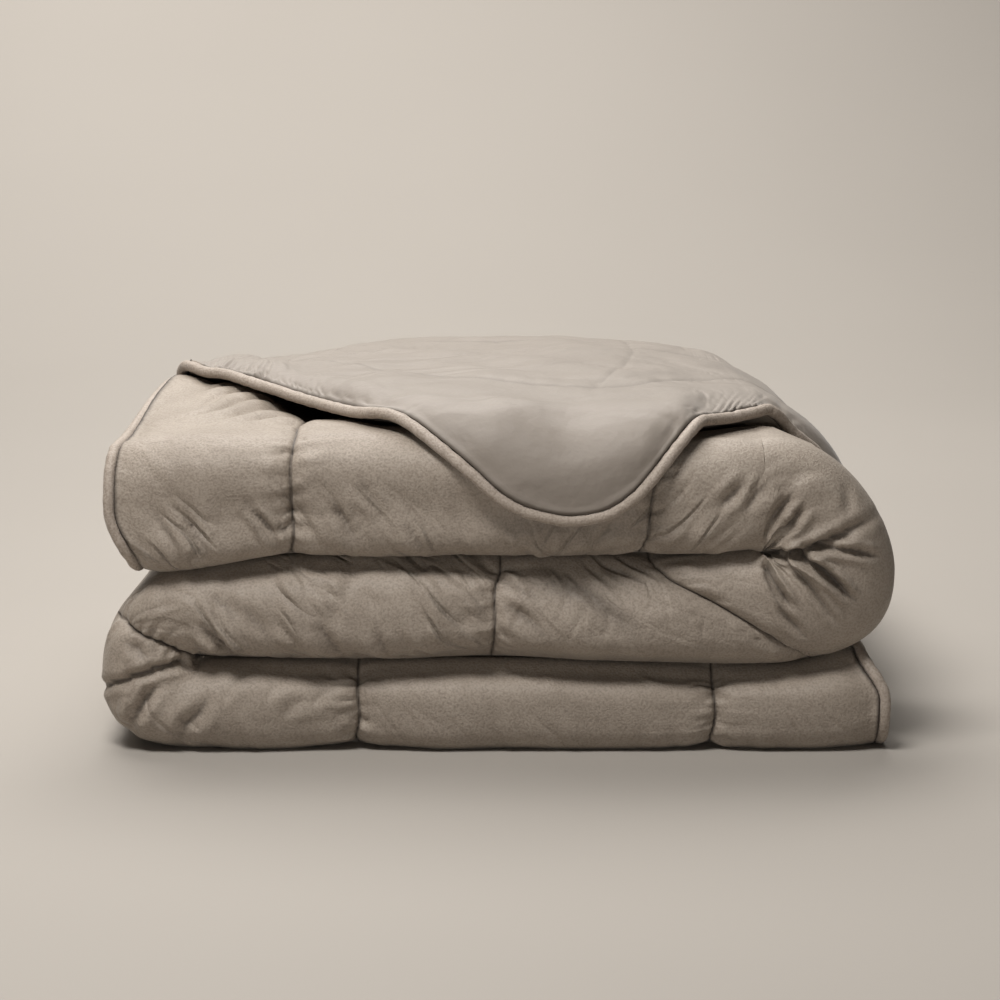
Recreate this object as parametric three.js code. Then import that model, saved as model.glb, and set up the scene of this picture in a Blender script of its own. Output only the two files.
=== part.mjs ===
// A quilted duvet of 200 x 220 cm, folded in three across its width and then in three along its
// length, with its top third turned forward so that the piped edge hangs over the front in a wave.
// Millimetres, +Z up, the front faces -Y, and the stack stands on Z = 0.
import * as THREE from 'three';
import { mergeVertices } from 'three/addons/utils/BufferGeometryUtils.js';

// Driving dimensions of the folded stack
const RIGHT_END = 338; // where the bottom layer ends
const LEFT_END = -331; // where the top layer ends
const LEFT_TURN = -262; // centre line of the left fold
const RIGHT_TURN = 232; // centre line of the right fold
const STACK_DEPTH = 655; // from the front of the stack to its rear fold
const SHORT_PLY_DEPTH = 642; // the bottom ply stops a little short of the rear fold
const FOLD_ROUNDING = 42; // how far back the front fold rounds off
const FRONT_HOLLOW = 6; // how far the front fold's inner side reaches forward
const REAR_ROUNDING = 40; // of the rear fold's outside
const REAR_HOLLOW = 5; // how far the rear fold's inner side reaches back
const LAYER_GAP = 2.4; // between two layers of the stack
const PLY_GAP = 3; // between two plies of one layer
const FLAP_THICKNESS = 17; // of the third ply where it hangs over the front
const FLAP_STANDOFF = 6; // of that hanging part from the front, where the crowns below swell
const PLY_MEETING = 0.4; // share of the two front plies' height that the bottom one fills
const STEP_LENGTH = 60; // over which the second ply gives way under the third
const STEP_SHOWN = 4; // how far behind the third ply's edge that step begins where the edge shows
const STEP_HIDDEN = -78; // and where the edge is hidden in the stack
const LEAST_SETBACK = 12; // of the step behind the front's shoulder
const FRONT_FULLNESS = 2.3; // exponent of a rounded outline: 2 is an ellipse, more is squarer
const END_TUCK = 20; // how far an end is tucked in beside the layer it touches
const END_PARTING = 12; // how far the plies part in the rear fold's ends, where they are thin
const PARTING_BACK = 0.75; // share of that parting by which the rear fold's inner side gives way
const CORNER_CURL = 0.13; // how far the second ply curls up to the turned corner, as a share

// The two folds at the sides: 'bulge' is the height of the outermost point and 'reach' how far it
// stands out from the fold's centre line. They sag, so that they are squarer below it than above.
const LEFT_FOLD = { bulge: 70, reach: 87.5, upper: 2.05, lower: 2.6 };
const RIGHT_FOLD = { bulge: 162, reach: 118, upper: 1.75, lower: 2.5 };

// How the finished stack has settled, as shares of its height, its width and its depth
const DOME = 0.03;
const REAR_DROOP = 0.035;
const LEFT_DROOP = 0.045;
const REAR_NARROWING = 0.045;
const LEFT_LEAN = 0.05;

// Places along the fold, and lengths in millimetres, over which a change comes on
const EDGE_SHOWS = [3.75, 4.05];
const CURL_AT_END = [4.92, 5];
const CURL_BACKWARDS = [60, 300];
const FLAP_LIFTS = [170, 30];
const FLAP_THINS = [-60, 40];
const FLAP_STANDS_OFF = [-40, 10];
const ASKEW_GROWS = [3.9, 4.3];
const ASKEW_FADES = [5, 4.6];
const ASKEW_ACROSS = 420;
const REAR_SQUEEZED = [4.5, 5];
const LEFT_FOLD_OPENS = [1.05, 1.25];
const LEFT_FOLD_CLOSES = [1.95, 1.75];
const TOP_OPENS = [3.05, 3.3];
const BOTTOM_TUCK_UP = [0.55, 1];
const BOTTOM_TUCK_ALONG = [0.13, 0];
const TOP_TUCK_UP = [0.45, 0];
const TOP_TUCK_ALONG = [4.86, 5];
const SETTLES_ABOVE = [90, 240];
const REAR_PARTING = [-90, 0];
const DROOPS_LEFT_OF = [80, 300];
const DROOPS_BEHIND = [0.5, 0.92];
const LEANS_LEFT_OF = [120, 330];
const CROWN_RISES = [20, 90];

// Driving dimensions of the duvet's edge, quilting and piping
const EDGE_THICKNESS = 6;
const EDGE_TAPER = 58; // from the piping to the full filling
const EDGE_LIFT = 2.2; // how far the thin edge stands off the surface below it
const CORNER_RADIUS = 46;
const CHANNEL_DEPTH = 9; // of a stitched line in a plump face
const CHANNEL_HALF_WIDTH = 19;
const CHANNEL_SPREAD = 11.8; // half width at which the channel is about a third as deep
const BOX_CHANNEL_DEPTH = 7.2;
const CROWN = 4; // how far a quilted box swells between two stitched lines
const FOLD_FADE = 0.6; // power of the cosine by which the relief fades round a fold
const BOX_LINE = 166; // from the long edge to the first stitched line
const REAR_BOX_LINE = 124; // from the rear fold to the next one
const PIPING_DIAMETER = 8.8;
const PIPING_CLEARANCE = 0.8;
const PIPING_SIDES = 8;
const WELD = 1e-4; // closer than this, two vertices are one
const LEAST_STATION_GAP = 3; // between two rings of the piping's tube

// Heights of the surfaces between the layers, from the left to the right
const LOWER_SLIT = [
  { x: -400, z: 81 },
  { x: -262, z: 80 },
  { x: -120, z: 79 },
  { x: 0, z: 79.5 },
  { x: 110, z: 77 },
  { x: 232, z: 75 },
  { x: 262, z: 75.5 },
  { x: 300, z: 82 },
  { x: 345, z: 91 },
  { x: 400, z: 92 },
];
const UPPER_SLIT = [
  { x: -400, z: 155 },
  { x: -342, z: 157 },
  { x: -262, z: 165 },
  { x: -186, z: 173 },
  { x: -60, z: 176 },
  { x: 60, z: 176 },
  { x: 140, z: 174 },
  { x: 232, z: 180 },
  { x: 300, z: 180 },
];
const TOP = [
  { x: -400, z: 286 },
  { x: -320, z: 293 },
  { x: -200, z: 303 },
  { x: -60, z: 309 },
  { x: 60, z: 309 },
  { x: 160, z: 304 },
  { x: 232, z: 293 },
  { x: 300, z: 280 },
];

// What changes along the fold. Place 0 to 1 is the bottom layer from its right end, 1 to 2 the left
// fold, 2 to 3 the middle layer, 3 to 4 the right fold and 4 to 5 the top layer to its left end.
// 'front' is how far back the front stands. 'beside' and 'under' are the shares of the layer's
// height that the two front plies fill, beside the third ply and under it. 'hang' is how far the
// third ply's free edge reaches past the front's shoulder (negative: it stops short of it), and
// 'lift' how far that edge stands off the ply below.
const ALONG = [
  { place: -0.2, front: 13, beside: 1, under: 0.68, hang: -126, lift: 0 },
  { place: 0.5, front: 13, beside: 1, under: 0.68, hang: -128, lift: 0 },
  { place: 1.5, front: 10, beside: 1, under: 0.68, hang: -124, lift: 0 },
  { place: 2.5, front: 7, beside: 1, under: 0.68, hang: -124, lift: 0 },
  { place: 3.1, front: 5, beside: 1, under: 0.68, hang: -118, lift: 0 },
  { place: 3.25, front: 4, beside: 0.99, under: 0.68, hang: -112, lift: 0 },
  { place: 3.5, front: 3, beside: 0.96, under: 0.68, hang: -100, lift: 2 },
  { place: 3.8, front: 2, beside: 0.9, under: 0.68, hang: -84, lift: 8 },
  { place: 4, front: 0, beside: 0.84, under: 0.68, hang: -60, lift: 6 },
  { place: 4.1, front: 0, beside: 0.8, under: 0.68, hang: -12, lift: 3 },
  { place: 4.15, front: 0, beside: 0.783, under: 0.68, hang: 32, lift: 1 },
  { place: 4.2, front: 0, beside: 0.77, under: 0.68, hang: 67, lift: 0 },
  { place: 4.25, front: 0, beside: 0.763, under: 0.68, hang: 80, lift: 0 },
  { place: 4.3, front: 0, beside: 0.76, under: 0.68, hang: 83.5, lift: 0 },
  { place: 4.35, front: 0, beside: 0.76, under: 0.68, hang: 78, lift: 0 },
  { place: 4.4, front: 0, beside: 0.76, under: 0.68, hang: 70, lift: 0 },
  { place: 4.45, front: 0, beside: 0.768, under: 0.68, hang: 49, lift: 0 },
  { place: 4.5, front: 0, beside: 0.78, under: 0.68, hang: 30, lift: 1 },
  { place: 4.55, front: 0, beside: 0.794, under: 0.69, hang: 8.5, lift: 2 },
  { place: 4.6, front: 0, beside: 0.805, under: 0.7, hang: -16, lift: 3 },
  { place: 4.7, front: 0, beside: 0.82, under: 0.73, hang: -92, lift: 2 },
  { place: 4.8, front: 0, beside: 0.835, under: 0.76, hang: -156, lift: 8 },
  { place: 4.9, front: 2, beside: 0.855, under: 0.78, hang: -212, lift: 15 },
  { place: 4.95, front: 3, beside: 0.855, under: 0.78, hang: -233, lift: 13 },
  { place: 5, front: 5, beside: 0.85, under: 0.78, hang: -250, lift: 3 },
  { place: 5.2, front: 8, beside: 0.85, under: 0.78, hang: -280, lift: 3 },
];

// Stitched lines that cross the layers. 'lean' is how much further along the fold a line lies at
// the top of the layer's height than at its foot.
const CROSS_LINES = [
  { place: 0.244, lean: 0 },
  { place: 0.768, lean: 0 },
  { place: 1.7, lean: 0.05 },
  { place: 2.53, lean: -0.01 },
  { place: 2.95, lean: 0.3 },
  { place: 4.17, lean: -0.03 },
  { place: 4.728, lean: 0 },
];
const LEAN_REACH = 0.34; // a leaning line carries the cloth beside it this far

// Soft creases down the front of the two side folds
const CREASES = [
  { place: 1.2475, depth: 5 },
  { place: 1.4225, depth: 7 },
  { place: 3.307, depth: 5 },
  { place: 3.513, depth: 6 },
];
const FOLD_LENGTHS = [140, 178]; // of the cloth round the front of the left and the right fold
const REAR_SQUEEZE = 0.55; // how much nearer the rear fold its stitched line comes at the left end
const ASKEW = 0.19; // how far the turned ply is pulled along the fold at its free edge

// Steps of the mesh along the fold, beside those at the stitched lines
const STEPS = [
  { from: 0.13, to: 0.13, count: 0 },
  { from: 0.36, to: 0.65, count: 2 },
  { from: 0.88, to: 1.05, count: 1 },
  { from: 1.16, to: 1.51, count: 4 },
  { from: 1.94, to: 2.36, count: 3 },
  { from: 2.74, to: 2.74, count: 0 },
  { from: 3.1, to: 4.03, count: 9 },
  { from: 4.05, to: 4.11, count: 3 },
  { from: 4.235, to: 4.64, count: 11 },
  { from: 4.81, to: 4.87, count: 1 },
];
const END_STEPS = [0, 7, 20, 44]; // millimetres from the two short edges

// Rows of the mesh across the duvet. 'at' is in millimetres from the ply's free edge, from the rear
// fold or from the step in the second ply, in degrees round a fold, or a share of the way from that
// step to the rear fold.
const ROWS = [
  ...[0, 7, 20, 44, 148, 166, 184, 400].map((at) => ({ ply: 'under', from: 'edge', at })),
  ...[-90, -68, -42, -16, 12, 38, 62, 78, 90].map((at) => ({ ply: 'front', from: 'angle', at })),
  ...[0, 30, 60].map((at) => ({ ply: 'middle', from: 'step', at })),
  ...[0.35, 0.7].map((at) => ({ ply: 'middle', from: 'share', at })),
  ...[-90, -45, 0, 45, 90].map((at) => ({ ply: 'rear', from: 'angle', at })),
  ...[104, 124, 144].map((at) => ({ ply: 'over', from: 'rear', at })),
  ...[240, 184, 166, 148, 120, 92, 68, 44, 20, 7, 0].map((at) => ({ ply: 'over', from: 'edge', at })),
];

const VELVET = { color: 0x85796c, roughness: 0.86, metalness: 0 };
const PIPING_VELVET = { color: 0x7c7064, roughness: 0.84, metalness: 0 };

const { clamp, degToRad, lerp, smoothstep } = THREE.MathUtils;

// How far a value has come over a range, from 0 to 1; the range may run downwards
function progress(value, [from, to]) {
  return from < to ? smoothstep(value, from, to) : 1 - smoothstep(value, to, from);
}

// A smooth curve through a table's rows: Hermite pieces with the slope of each row's neighbours.
function curveThrough(rows, across, name) {
  const slope = rows.map((row, i) => {
    const before = rows[Math.max(i - 1, 0)];
    const after = rows[Math.min(i + 1, rows.length - 1)];
    return (after[name] - before[name]) / (after[across] - before[across]);
  });
  return (at) => {
    const x = clamp(at, rows[0][across], rows[rows.length - 1][across]);
    const i = clamp(rows.findIndex((row) => row[across] >= x) - 1, 0, rows.length - 2);
    const step = rows[i + 1][across] - rows[i][across];
    const t = (x - rows[i][across]) / step;
    const [t2, t3] = [t * t, t * t * t];
    return (2 * t3 - 3 * t2 + 1) * rows[i][name] + (t3 - 2 * t2 + t) * step * slope[i]
      + (3 * t2 - 2 * t3) * rows[i + 1][name] + (t3 - t2) * step * slope[i + 1];
  };
}

const lowerSlit = curveThrough(LOWER_SLIT, 'x', 'z');
const upperSlit = curveThrough(UPPER_SLIT, 'x', 'z');
const topOf = curveThrough(TOP, 'x', 'z');
const frontOf = curveThrough(ALONG, 'place', 'front');
const besideOf = curveThrough(ALONG, 'place', 'beside');
const underOf = curveThrough(ALONG, 'place', 'under');
const hangOf = curveThrough(ALONG, 'place', 'hang');
const liftOf = curveThrough(ALONG, 'place', 'lift');

// A rounded outline: the angle runs from -90 to 90 degrees, and the point goes from the outline's
// foot over its outermost point to its top.
function roundOutline(degrees, fullness = FRONT_FULLNESS) {
  const angle = degToRad(degrees);
  const out = Math.abs(Math.cos(angle)) ** (2 / fullness);
  const up = Math.sign(degrees) * Math.abs(Math.sin(angle)) ** (2 / fullness);
  return { out, up };
}

// A point of a fold's outer side, from its foot to its top
function foldPoint(centreX, side, fold, foot, top, share) {
  const { out, up } = roundOutline(180 * share - 90, share < 0.5 ? fold.lower : fold.upper);
  const rise = up < 0 ? fold.bulge - foot : top - fold.bulge;
  return { x: centreX + side * fold.reach * out, z: fold.bulge + rise * up };
}

// A point of a fold's inner side, which closes tightly round the end of a slit
function slitEnd(x, z, side, share) {
  const half = LAYER_GAP / 2;
  const { out, up } = roundOutline(180 * share - 90, 2);
  return { x: x + side * LAYER_GAP * out, z: z + half * up };
}

// The two sides of the folded strip at a place along the fold: the velvet side, which lies on the
// ground in the bottom layer, and the other side. Beyond an end the strip runs on straight.
function rungAt(place) {
  const half = LAYER_GAP / 2;
  if (place <= 1) {
    const x = lerp(RIGHT_END, LEFT_TURN, place);
    return { velvet: { x, z: 0 }, other: { x, z: lowerSlit(x) - half } };
  }
  if (place < 2) {
    const top = upperSlit(LEFT_TURN) - half;
    return {
      velvet: foldPoint(LEFT_TURN, -1, LEFT_FOLD, 0, top, place - 1),
      other: slitEnd(LEFT_TURN, lowerSlit(LEFT_TURN), -1, place - 1),
    };
  }
  if (place <= 3) {
    const x = lerp(LEFT_TURN, RIGHT_TURN, place - 2);
    return { velvet: { x, z: upperSlit(x) - half }, other: { x, z: lowerSlit(x) + half } };
  }
  if (place < 4) {
    const foot = lowerSlit(RIGHT_TURN) + half;
    return {
      velvet: slitEnd(RIGHT_TURN, upperSlit(RIGHT_TURN), 1, place - 3),
      other: foldPoint(RIGHT_TURN, 1, RIGHT_FOLD, foot, topOf(RIGHT_TURN), place - 3),
    };
  }
  const x = lerp(RIGHT_TURN, LEFT_END, place - 4);
  return { velvet: { x, z: upperSlit(x) + half }, other: { x, z: topOf(x) } };
}

function shoulderOf(place) {
  return frontOf(place) + FOLD_ROUNDING;
}

const heightAt = (place) => {
  const { velvet, other } = rungAt(place);
  return Math.hypot(other.x - velvet.x, other.z - velvet.z);
};

const REAR_TURN = STACK_DEPTH - REAR_ROUNDING;
const QUARTER_LENGTH = 0.82; // length of a quarter of a rounded outline, per millimetre of its radii
const NORMAL_STEP = 1; // from a point of the path to those that give its direction
const FAR_FROM_EDGE = 1000;
const BOTTOM_LENGTH = RIGHT_END - LEFT_TURN;
const TOP_LENGTH = RIGHT_TURN - LEFT_END;

// Millimetres from the nearer short edge
function endDistance(place) {
  return Math.min(place * BOTTOM_LENGTH, (5 - place) * TOP_LENGTH);
}

function placeAtEnd(distance, place) {
  return place < 2.5 ? distance / BOTTOM_LENGTH : 5 - distance / TOP_LENGTH;
}

// How plump the duvet is, 0 at its piped edge and 1 where the filling is full
function plumpness(distance) {
  const share = clamp(distance / EDGE_TAPER, 0, 1);
  return Math.sqrt(1 - (1 - share) ** 2);
}

// Where the second ply steps down under the third: behind the third ply's edge where that edge
// shows, in front of it where it is hidden in the stack
function stepStart(place) {
  const edgeY = shoulderOf(place) + Math.max(-hangOf(place), LEAST_SETBACK);
  return edgeY + lerp(STEP_HIDDEN, STEP_SHOWN, progress(place, EDGE_SHOWS));
}

// The top of the two front plies, as a share of the layer's height
function middleTop(place, y) {
  const start = stepStart(place);
  const curl = CORNER_CURL * progress(place, CURL_AT_END) * progress(y, CURL_BACKWARDS);
  return lerp(besideOf(place) + curl, underOf(place), smoothstep(y, start, start + STEP_LENGTH));
}

// The seam where the two front plies meet, as a share of the layer's height
function plyMeeting(place) {
  return besideOf(place) * PLY_MEETING;
}

// A path over the two front plies, along which the third ply lies: forward over the top to the
// shoulder at 0, down the rounded front, then straight down.
function overPath(place, past) {
  const height = heightAt(place);
  const shoulder = shoulderOf(place);
  if (past <= 0) return { y: shoulder - past, h: middleTop(place, shoulder - past) * height };
  const halfHeight = (besideOf(place) * height) / 2;
  const quarter = QUARTER_LENGTH * (FOLD_ROUNDING + halfHeight);
  const { out, up } = roundOutline(90 * (1 - Math.min(past / quarter, 1)));
  return {
    y: shoulder - FOLD_ROUNDING * out,
    h: halfHeight * (1 + up) - Math.max(past - quarter, 0),
  };
}

// The direction out of that path: straight up on top, forward on the front
function overNormal(place, past) {
  if (past < -2 * NORMAL_STEP) return { y: 0, h: 1 };
  const before = overPath(place, past - NORMAL_STEP);
  const after = overPath(place, past + NORMAL_STEP);
  const run = Math.hypot(after.y - before.y, after.h - before.h);
  return { y: (after.h - before.h) / run, h: -(after.y - before.y) / run };
}

// Each ply's own section gives, at a place along the fold, y and the height h above the velvet side
// in millimetres, on the velvet face and on the lining face, and how plump the duvet is there.
function underSection(place, row, edge) {
  const y = SHORT_PLY_DEPTH - edge;
  const thick = plyMeeting(place) * heightAt(place) - PLY_GAP / 2;
  const plump = plumpness(endDistance(place)) * plumpness(edge);
  return { face: { y, h: 0 }, lining: { y, h: thick }, plump };
}

function frontSection(place, row) {
  const { out, up } = roundOutline(row.at);
  const shoulder = shoulderOf(place);
  const height = heightAt(place);
  const half = (besideOf(place) * height) / 2;
  const inner = plyMeeting(place) * height + (PLY_GAP / 2) * up;
  return {
    face: { y: shoulder - FOLD_ROUNDING * out, h: half * (1 + up) },
    lining: { y: shoulder - FRONT_HOLLOW * out, h: inner },
    plump: plumpness(endDistance(place)),
  };
}

// How far the second and the third ply part near the rear fold at the two ends
function partingAt(place, y) {
  const open = 1 - plumpness(endDistance(place));
  return END_PARTING * open * progress(y - REAR_TURN, REAR_PARTING);
}

function middleSection(place, row) {
  const height = heightAt(place);
  const start = stepStart(place);
  const y = row.from === 'step' ? start + row.at : lerp(start + STEP_LENGTH, REAR_TURN, row.at);
  return {
    face: { y, h: middleTop(place, y) * height - partingAt(place, y) },
    lining: { y, h: plyMeeting(place) * height + PLY_GAP / 2 },
    plump: plumpness(endDistance(place)),
  };
}

function rearSection(place, row) {
  const { out, up } = roundOutline(row.at);
  const height = heightAt(place);
  const full = plumpness(endDistance(place));
  const parting = END_PARTING * (1 - full);
  const foot = plyMeeting(place) * height + PLY_GAP / 2;
  const inner = underOf(place) * height + PLY_GAP / 2 + (PLY_GAP / 2 + parting) * up;
  return {
    face: { y: REAR_TURN + (REAR_HOLLOW + PARTING_BACK * parting) * out, h: inner },
    lining: { y: REAR_TURN + REAR_ROUNDING * out, h: lerp(foot, height, (1 + up) / 2) },
    plump: full,
  };
}

function overSection(place, row, edge) {
  const squeeze = 1 - REAR_SQUEEZE * progress(place, REAR_SQUEEZED);
  const fromRear = shoulderOf(place) - REAR_TURN + row.at * squeeze;
  const past = row.from === 'rear' ? fromRear : hangOf(place) - edge;
  const path = overPath(place, past);
  const normal = overNormal(place, past);
  const raise = PLY_GAP + partingAt(place, path.y)
    + liftOf(place) * progress(edge, FLAP_LIFTS)
    + FLAP_STANDOFF * progress(past, FLAP_STANDS_OFF);
  const room = (1 - middleTop(place, path.y)) * heightAt(place) - PLY_GAP;
  const full = Math.max(room, FLAP_THICKNESS);
  const thick = lerp(full, FLAP_THICKNESS, progress(past, FLAP_THINS));
  const off = (distance) => ({ y: path.y + normal.y * distance, h: path.h + normal.h * distance });
  const plump = plumpness(endDistance(place)) * plumpness(edge);
  return { face: off(raise), lining: off(raise + thick), plump };
}

const SECTIONS = {
  under: underSection,
  front: frontSection,
  middle: middleSection,
  rear: rearSection,
  over: overSection,
};

// How deep a stitched line or a crease draws the face in, at a distance from it
function channel(distance, depth) {
  return depth * Math.exp(-((distance / CHANNEL_SPREAD) ** 2));
}

function lengthPerPlace(place) {
  const [left, right] = FOLD_LENGTHS;
  const lengths = [BOTTOM_LENGTH, left, RIGHT_TURN - LEFT_TURN, right, TOP_LENGTH];
  return lengths[clamp(Math.floor(place), 0, 4)];
}

// The channels of the lines that cross the layers, and the crowns between them
function crossRelief(place) {
  const nearest = Math.min(...CROSS_LINES.map((line) => Math.abs(line.place - place)));
  const distance = nearest * lengthPerPlace(place);
  return channel(distance, CHANNEL_DEPTH) - CROWN * progress(distance, CROWN_RISES);
}

// The channels of the lines that run along the duvet
function boxRelief(row, edge) {
  if (row.ply !== 'under' && row.ply !== 'over') return 0;
  const distance = row.from === 'rear' ? row.at - REAR_BOX_LINE : edge - BOX_LINE;
  return channel(distance, BOX_CHANNEL_DEPTH);
}

function creaseRelief(place, row) {
  if (row.ply !== 'front') return 0;
  return CREASES.reduce((depth, crease) => (
    depth + channel((place - crease.place) * lengthPerPlace(place), crease.depth)), 0);
}

// How much of the relief a face shows: all of it where the face is in the open, none where it lies
// on the ground or against its neighbour
function openness(place, row, isLining) {
  const round = Math.cos(degToRad(row.at)) ** FOLD_FADE;
  const inLeftFold = progress(place, LEFT_FOLD_OPENS) * progress(place, LEFT_FOLD_CLOSES);
  const shown = {
    under: { velvet: inLeftFold, lining: 0 },
    front: { velvet: round, lining: 0 },
    middle: { velvet: 0, lining: 0 },
    rear: { velvet: 0, lining: round },
    over: { velvet: 0, lining: progress(place, TOP_OPENS) },
  };
  return shown[row.ply][isLining ? 'lining' : 'velvet'];
}

// The third ply is pulled askew as it is turned forward: towards its free edge the cloth lies
// further along the fold.
function askewPlace(place, row, edge) {
  if (row.ply !== 'over') return place;
  const pulled = progress(place, ASKEW_GROWS) * progress(place, ASKEW_FADES);
  const forward = row.from === 'rear' ? 0 : 1 - progress(edge, [0, ASKEW_ACROSS]);
  return place + ASKEW * pulled * forward;
}

// The cloth beside a leaning line is carried with it, more the higher it is in the layer.
function leanPlace(place, share) {
  let leaned = place;
  for (const line of CROSS_LINES) {
    const near = clamp(1 - Math.abs(place - line.place) / LEAN_REACH, 0, 1);
    leaned += line.lean * (share - 0.5) * near;
  }
  return leaned;
}

// How far an end is tucked in: the bottom layer's at its top, the top layer's at its foot
function endTuck(place, share) {
  const bottom = progress(share, BOTTOM_TUCK_UP) * progress(place, BOTTOM_TUCK_ALONG);
  const top = progress(share, TOP_TUCK_UP) * progress(place, TOP_TUCK_ALONG);
  return END_TUCK * (top - bottom);
}

// Shapes the finished stack. Upwards it narrows towards the rear, domes in the middle of its depth
// and droops at the rear, most of all at the left.
function settle(point) {
  const back = clamp(point.y / STACK_DEPTH, 0, 1);
  const high = progress(point.z, SETTLES_ABOVE);
  const atLeft = progress(-point.x, DROOPS_LEFT_OF) * progress(back, DROOPS_BEHIND);
  const droop = REAR_DROOP * back * back + LEFT_DROOP * atLeft;
  const rise = 1 + high * (DOME * Math.sin(Math.PI * back) - droop);
  const narrow = 1 - REAR_NARROWING * back * high;
  const shift = LEFT_LEAN * point.y * high * progress(-point.x, LEANS_LEFT_OF);
  return new THREE.Vector3(point.x * narrow + shift, point.y, point.z * rise);
}

// Rounds the duvet's corner off: a place and an edge distance near it move in to a quarter circle.
function roundCorner(place, edge) {
  const toEnd = endDistance(place);
  if (toEnd >= CORNER_RADIUS || edge >= CORNER_RADIUS) return { place, edge };
  const [a, b] = [CORNER_RADIUS - toEnd, CORNER_RADIUS - edge];
  const rounded = Math.max(a, b) / Math.hypot(a, b);
  const distance = CORNER_RADIUS - a * rounded;
  return { place: placeAtEnd(distance, place), edge: CORNER_RADIUS - b * rounded };
}

// A point of the duvet in space. 'through' is 0 on the velvet face and 1 on the lining face.
function duvetPoint(columnPlace, row, through) {
  const corner = roundCorner(columnPlace, row.from === 'edge' ? row.at : FAR_FROM_EDGE);
  const place = askewPlace(corner.place, row, corner.edge);
  const { face, lining, plump } = SECTIONS[row.ply](place, row, corner.edge);
  const reach = Math.hypot(lining.y - face.y, lining.h - face.h);
  const along = { y: (lining.y - face.y) / reach, h: (lining.h - face.h) / reach };
  const toBorder = Math.min(corner.edge, endDistance(columnPlace));
  const edgeLift = EDGE_LIFT * (1 - plumpness(2 * toBorder));
  const thickness = lerp(EDGE_THICKNESS, reach, plump);
  const lines = crossRelief(columnPlace) + creaseRelief(columnPlace, row) + boxRelief(row, corner.edge);
  const relief = lines * plump * openness(place, row, through === 1);
  const depth = through === 1 ? edgeLift + thickness - relief : edgeLift + relief;
  const share = (face.h + along.h * depth) / heightAt(place);
  const { velvet, other } = rungAt(leanPlace(place, clamp(share, 0, 1)));
  return settle({
    x: lerp(velvet.x, other.x, share) + endTuck(place, share),
    y: face.y + along.y * depth,
    z: lerp(velvet.z, other.z, share),
  });
}

// The places of the mesh's columns: the steps, the two ends, and each stitched line with the
// shoulders beside it.
function columnPlaces() {
  const places = STEPS.flatMap(({ from, to, count }) => (
    Array.from({ length: count + 1 }, (_, i) => (count ? lerp(from, to, i / count) : from))));
  for (const { place } of CROSS_LINES) {
    const shoulder = CHANNEL_HALF_WIDTH / lengthPerPlace(place);
    places.push(place - shoulder, place, place + shoulder);
  }
  for (const distance of END_STEPS) places.push(distance / BOTTOM_LENGTH, 5 - distance / TOP_LENGTH);
  return places.sort((a, b) => a - b);
}

// The duvet: a flat slab of columns and rows whose points are carried to their folded places
function makeDuvet(columns) {
  const slab = new THREE.BoxGeometry(1, 1, 1, columns.length - 1, ROWS.length - 1, 1);
  const position = slab.getAttribute('position');
  for (let i = 0; i < position.count; i += 1) {
    const column = Math.round((position.getX(i) + 0.5) * (columns.length - 1));
    const row = Math.round((position.getY(i) + 0.5) * (ROWS.length - 1));
    const point = duvetPoint(columns[column], ROWS[row], position.getZ(i) > 0 ? 1 : 0);
    position.setXYZ(i, point.x, point.y, point.z);
  }
  slab.deleteAttribute('normal');
  slab.deleteAttribute('uv');
  const closed = mergeVertices(slab, WELD);
  closed.computeVertexNormals();
  return closed;
}

// A closed path that goes straight from each of its points to the next
class Loop extends THREE.Curve {
  constructor(points) {
    super();
    this.points = points;
  }

  getPointAt(share) {
    return this.points[Math.round(share * this.points.length) % this.points.length].clone();
  }

  getTangentAt(share) {
    return directionAt(this.points, Math.round(share * this.points.length));
  }
}

function directionAt(points, i) {
  const count = points.length;
  return points[(i + 1) % count].clone().sub(points[(i + count - 1) % count]).normalize();
}

// The piping: one closed cord sewn round all four edges, just outside them
function makePiping(columns) {
  const inner = ROWS.slice(1, -1);
  const stops = [
    ...columns.map((place) => ({ place, row: ROWS[ROWS.length - 1] })),
    ...[...inner].reverse().map((row) => ({ place: 5, row })),
    ...[...columns].reverse().map((place) => ({ place, row: ROWS[0] })),
    ...inner.map((row) => ({ place: 0, row })),
  ];
  const faces = stops.map(({ place, row }) => duvetPoint(place, row, 0));
  const linings = stops.map(({ place, row }) => duvetPoint(place, row, 1));
  const middles = faces.map((face, i) => face.clone().lerp(linings[i], 0.5));
  const centres = middles.map((middle, i) => {
    const through = linings[i].clone().sub(faces[i]);
    const outwards = through.cross(directionAt(middles, i)).normalize();
    return middle.clone().addScaledVector(outwards, PIPING_DIAMETER / 2 + PIPING_CLEARANCE);
  });
  const stations = centres.filter((centre, i) => (
    i === 0 || centre.distanceTo(centres[i - 1]) > LEAST_STATION_GAP));
  const path = new Loop(stations);
  const tube = new THREE.TubeGeometry(path, stations.length, PIPING_DIAMETER / 2, PIPING_SIDES, true);
  tube.deleteAttribute('normal');
  tube.deleteAttribute('uv');
  const closed = mergeVertices(tube, WELD);
  closed.computeVertexNormals();
  return closed;
}

function named(name, geometry, finish) {
  const mesh = new THREE.Mesh(geometry, new THREE.MeshStandardMaterial(finish));
  mesh.name = name;
  return mesh;
}

const columns = columnPlaces();
const foldedDuvet = new THREE.Group();
foldedDuvet.add(
  named('duvet', makeDuvet(columns), VELVET),
  named('piping', makePiping(columns), PIPING_VELVET),
);

// The origin is on the ground, under the middle of the stack.
const middle = new THREE.Box3().setFromObject(foldedDuvet).getCenter(new THREE.Vector3());
for (const mesh of foldedDuvet.children) mesh.geometry.translate(-middle.x, -middle.y, 0);

export default foldedDuvet;
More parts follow.
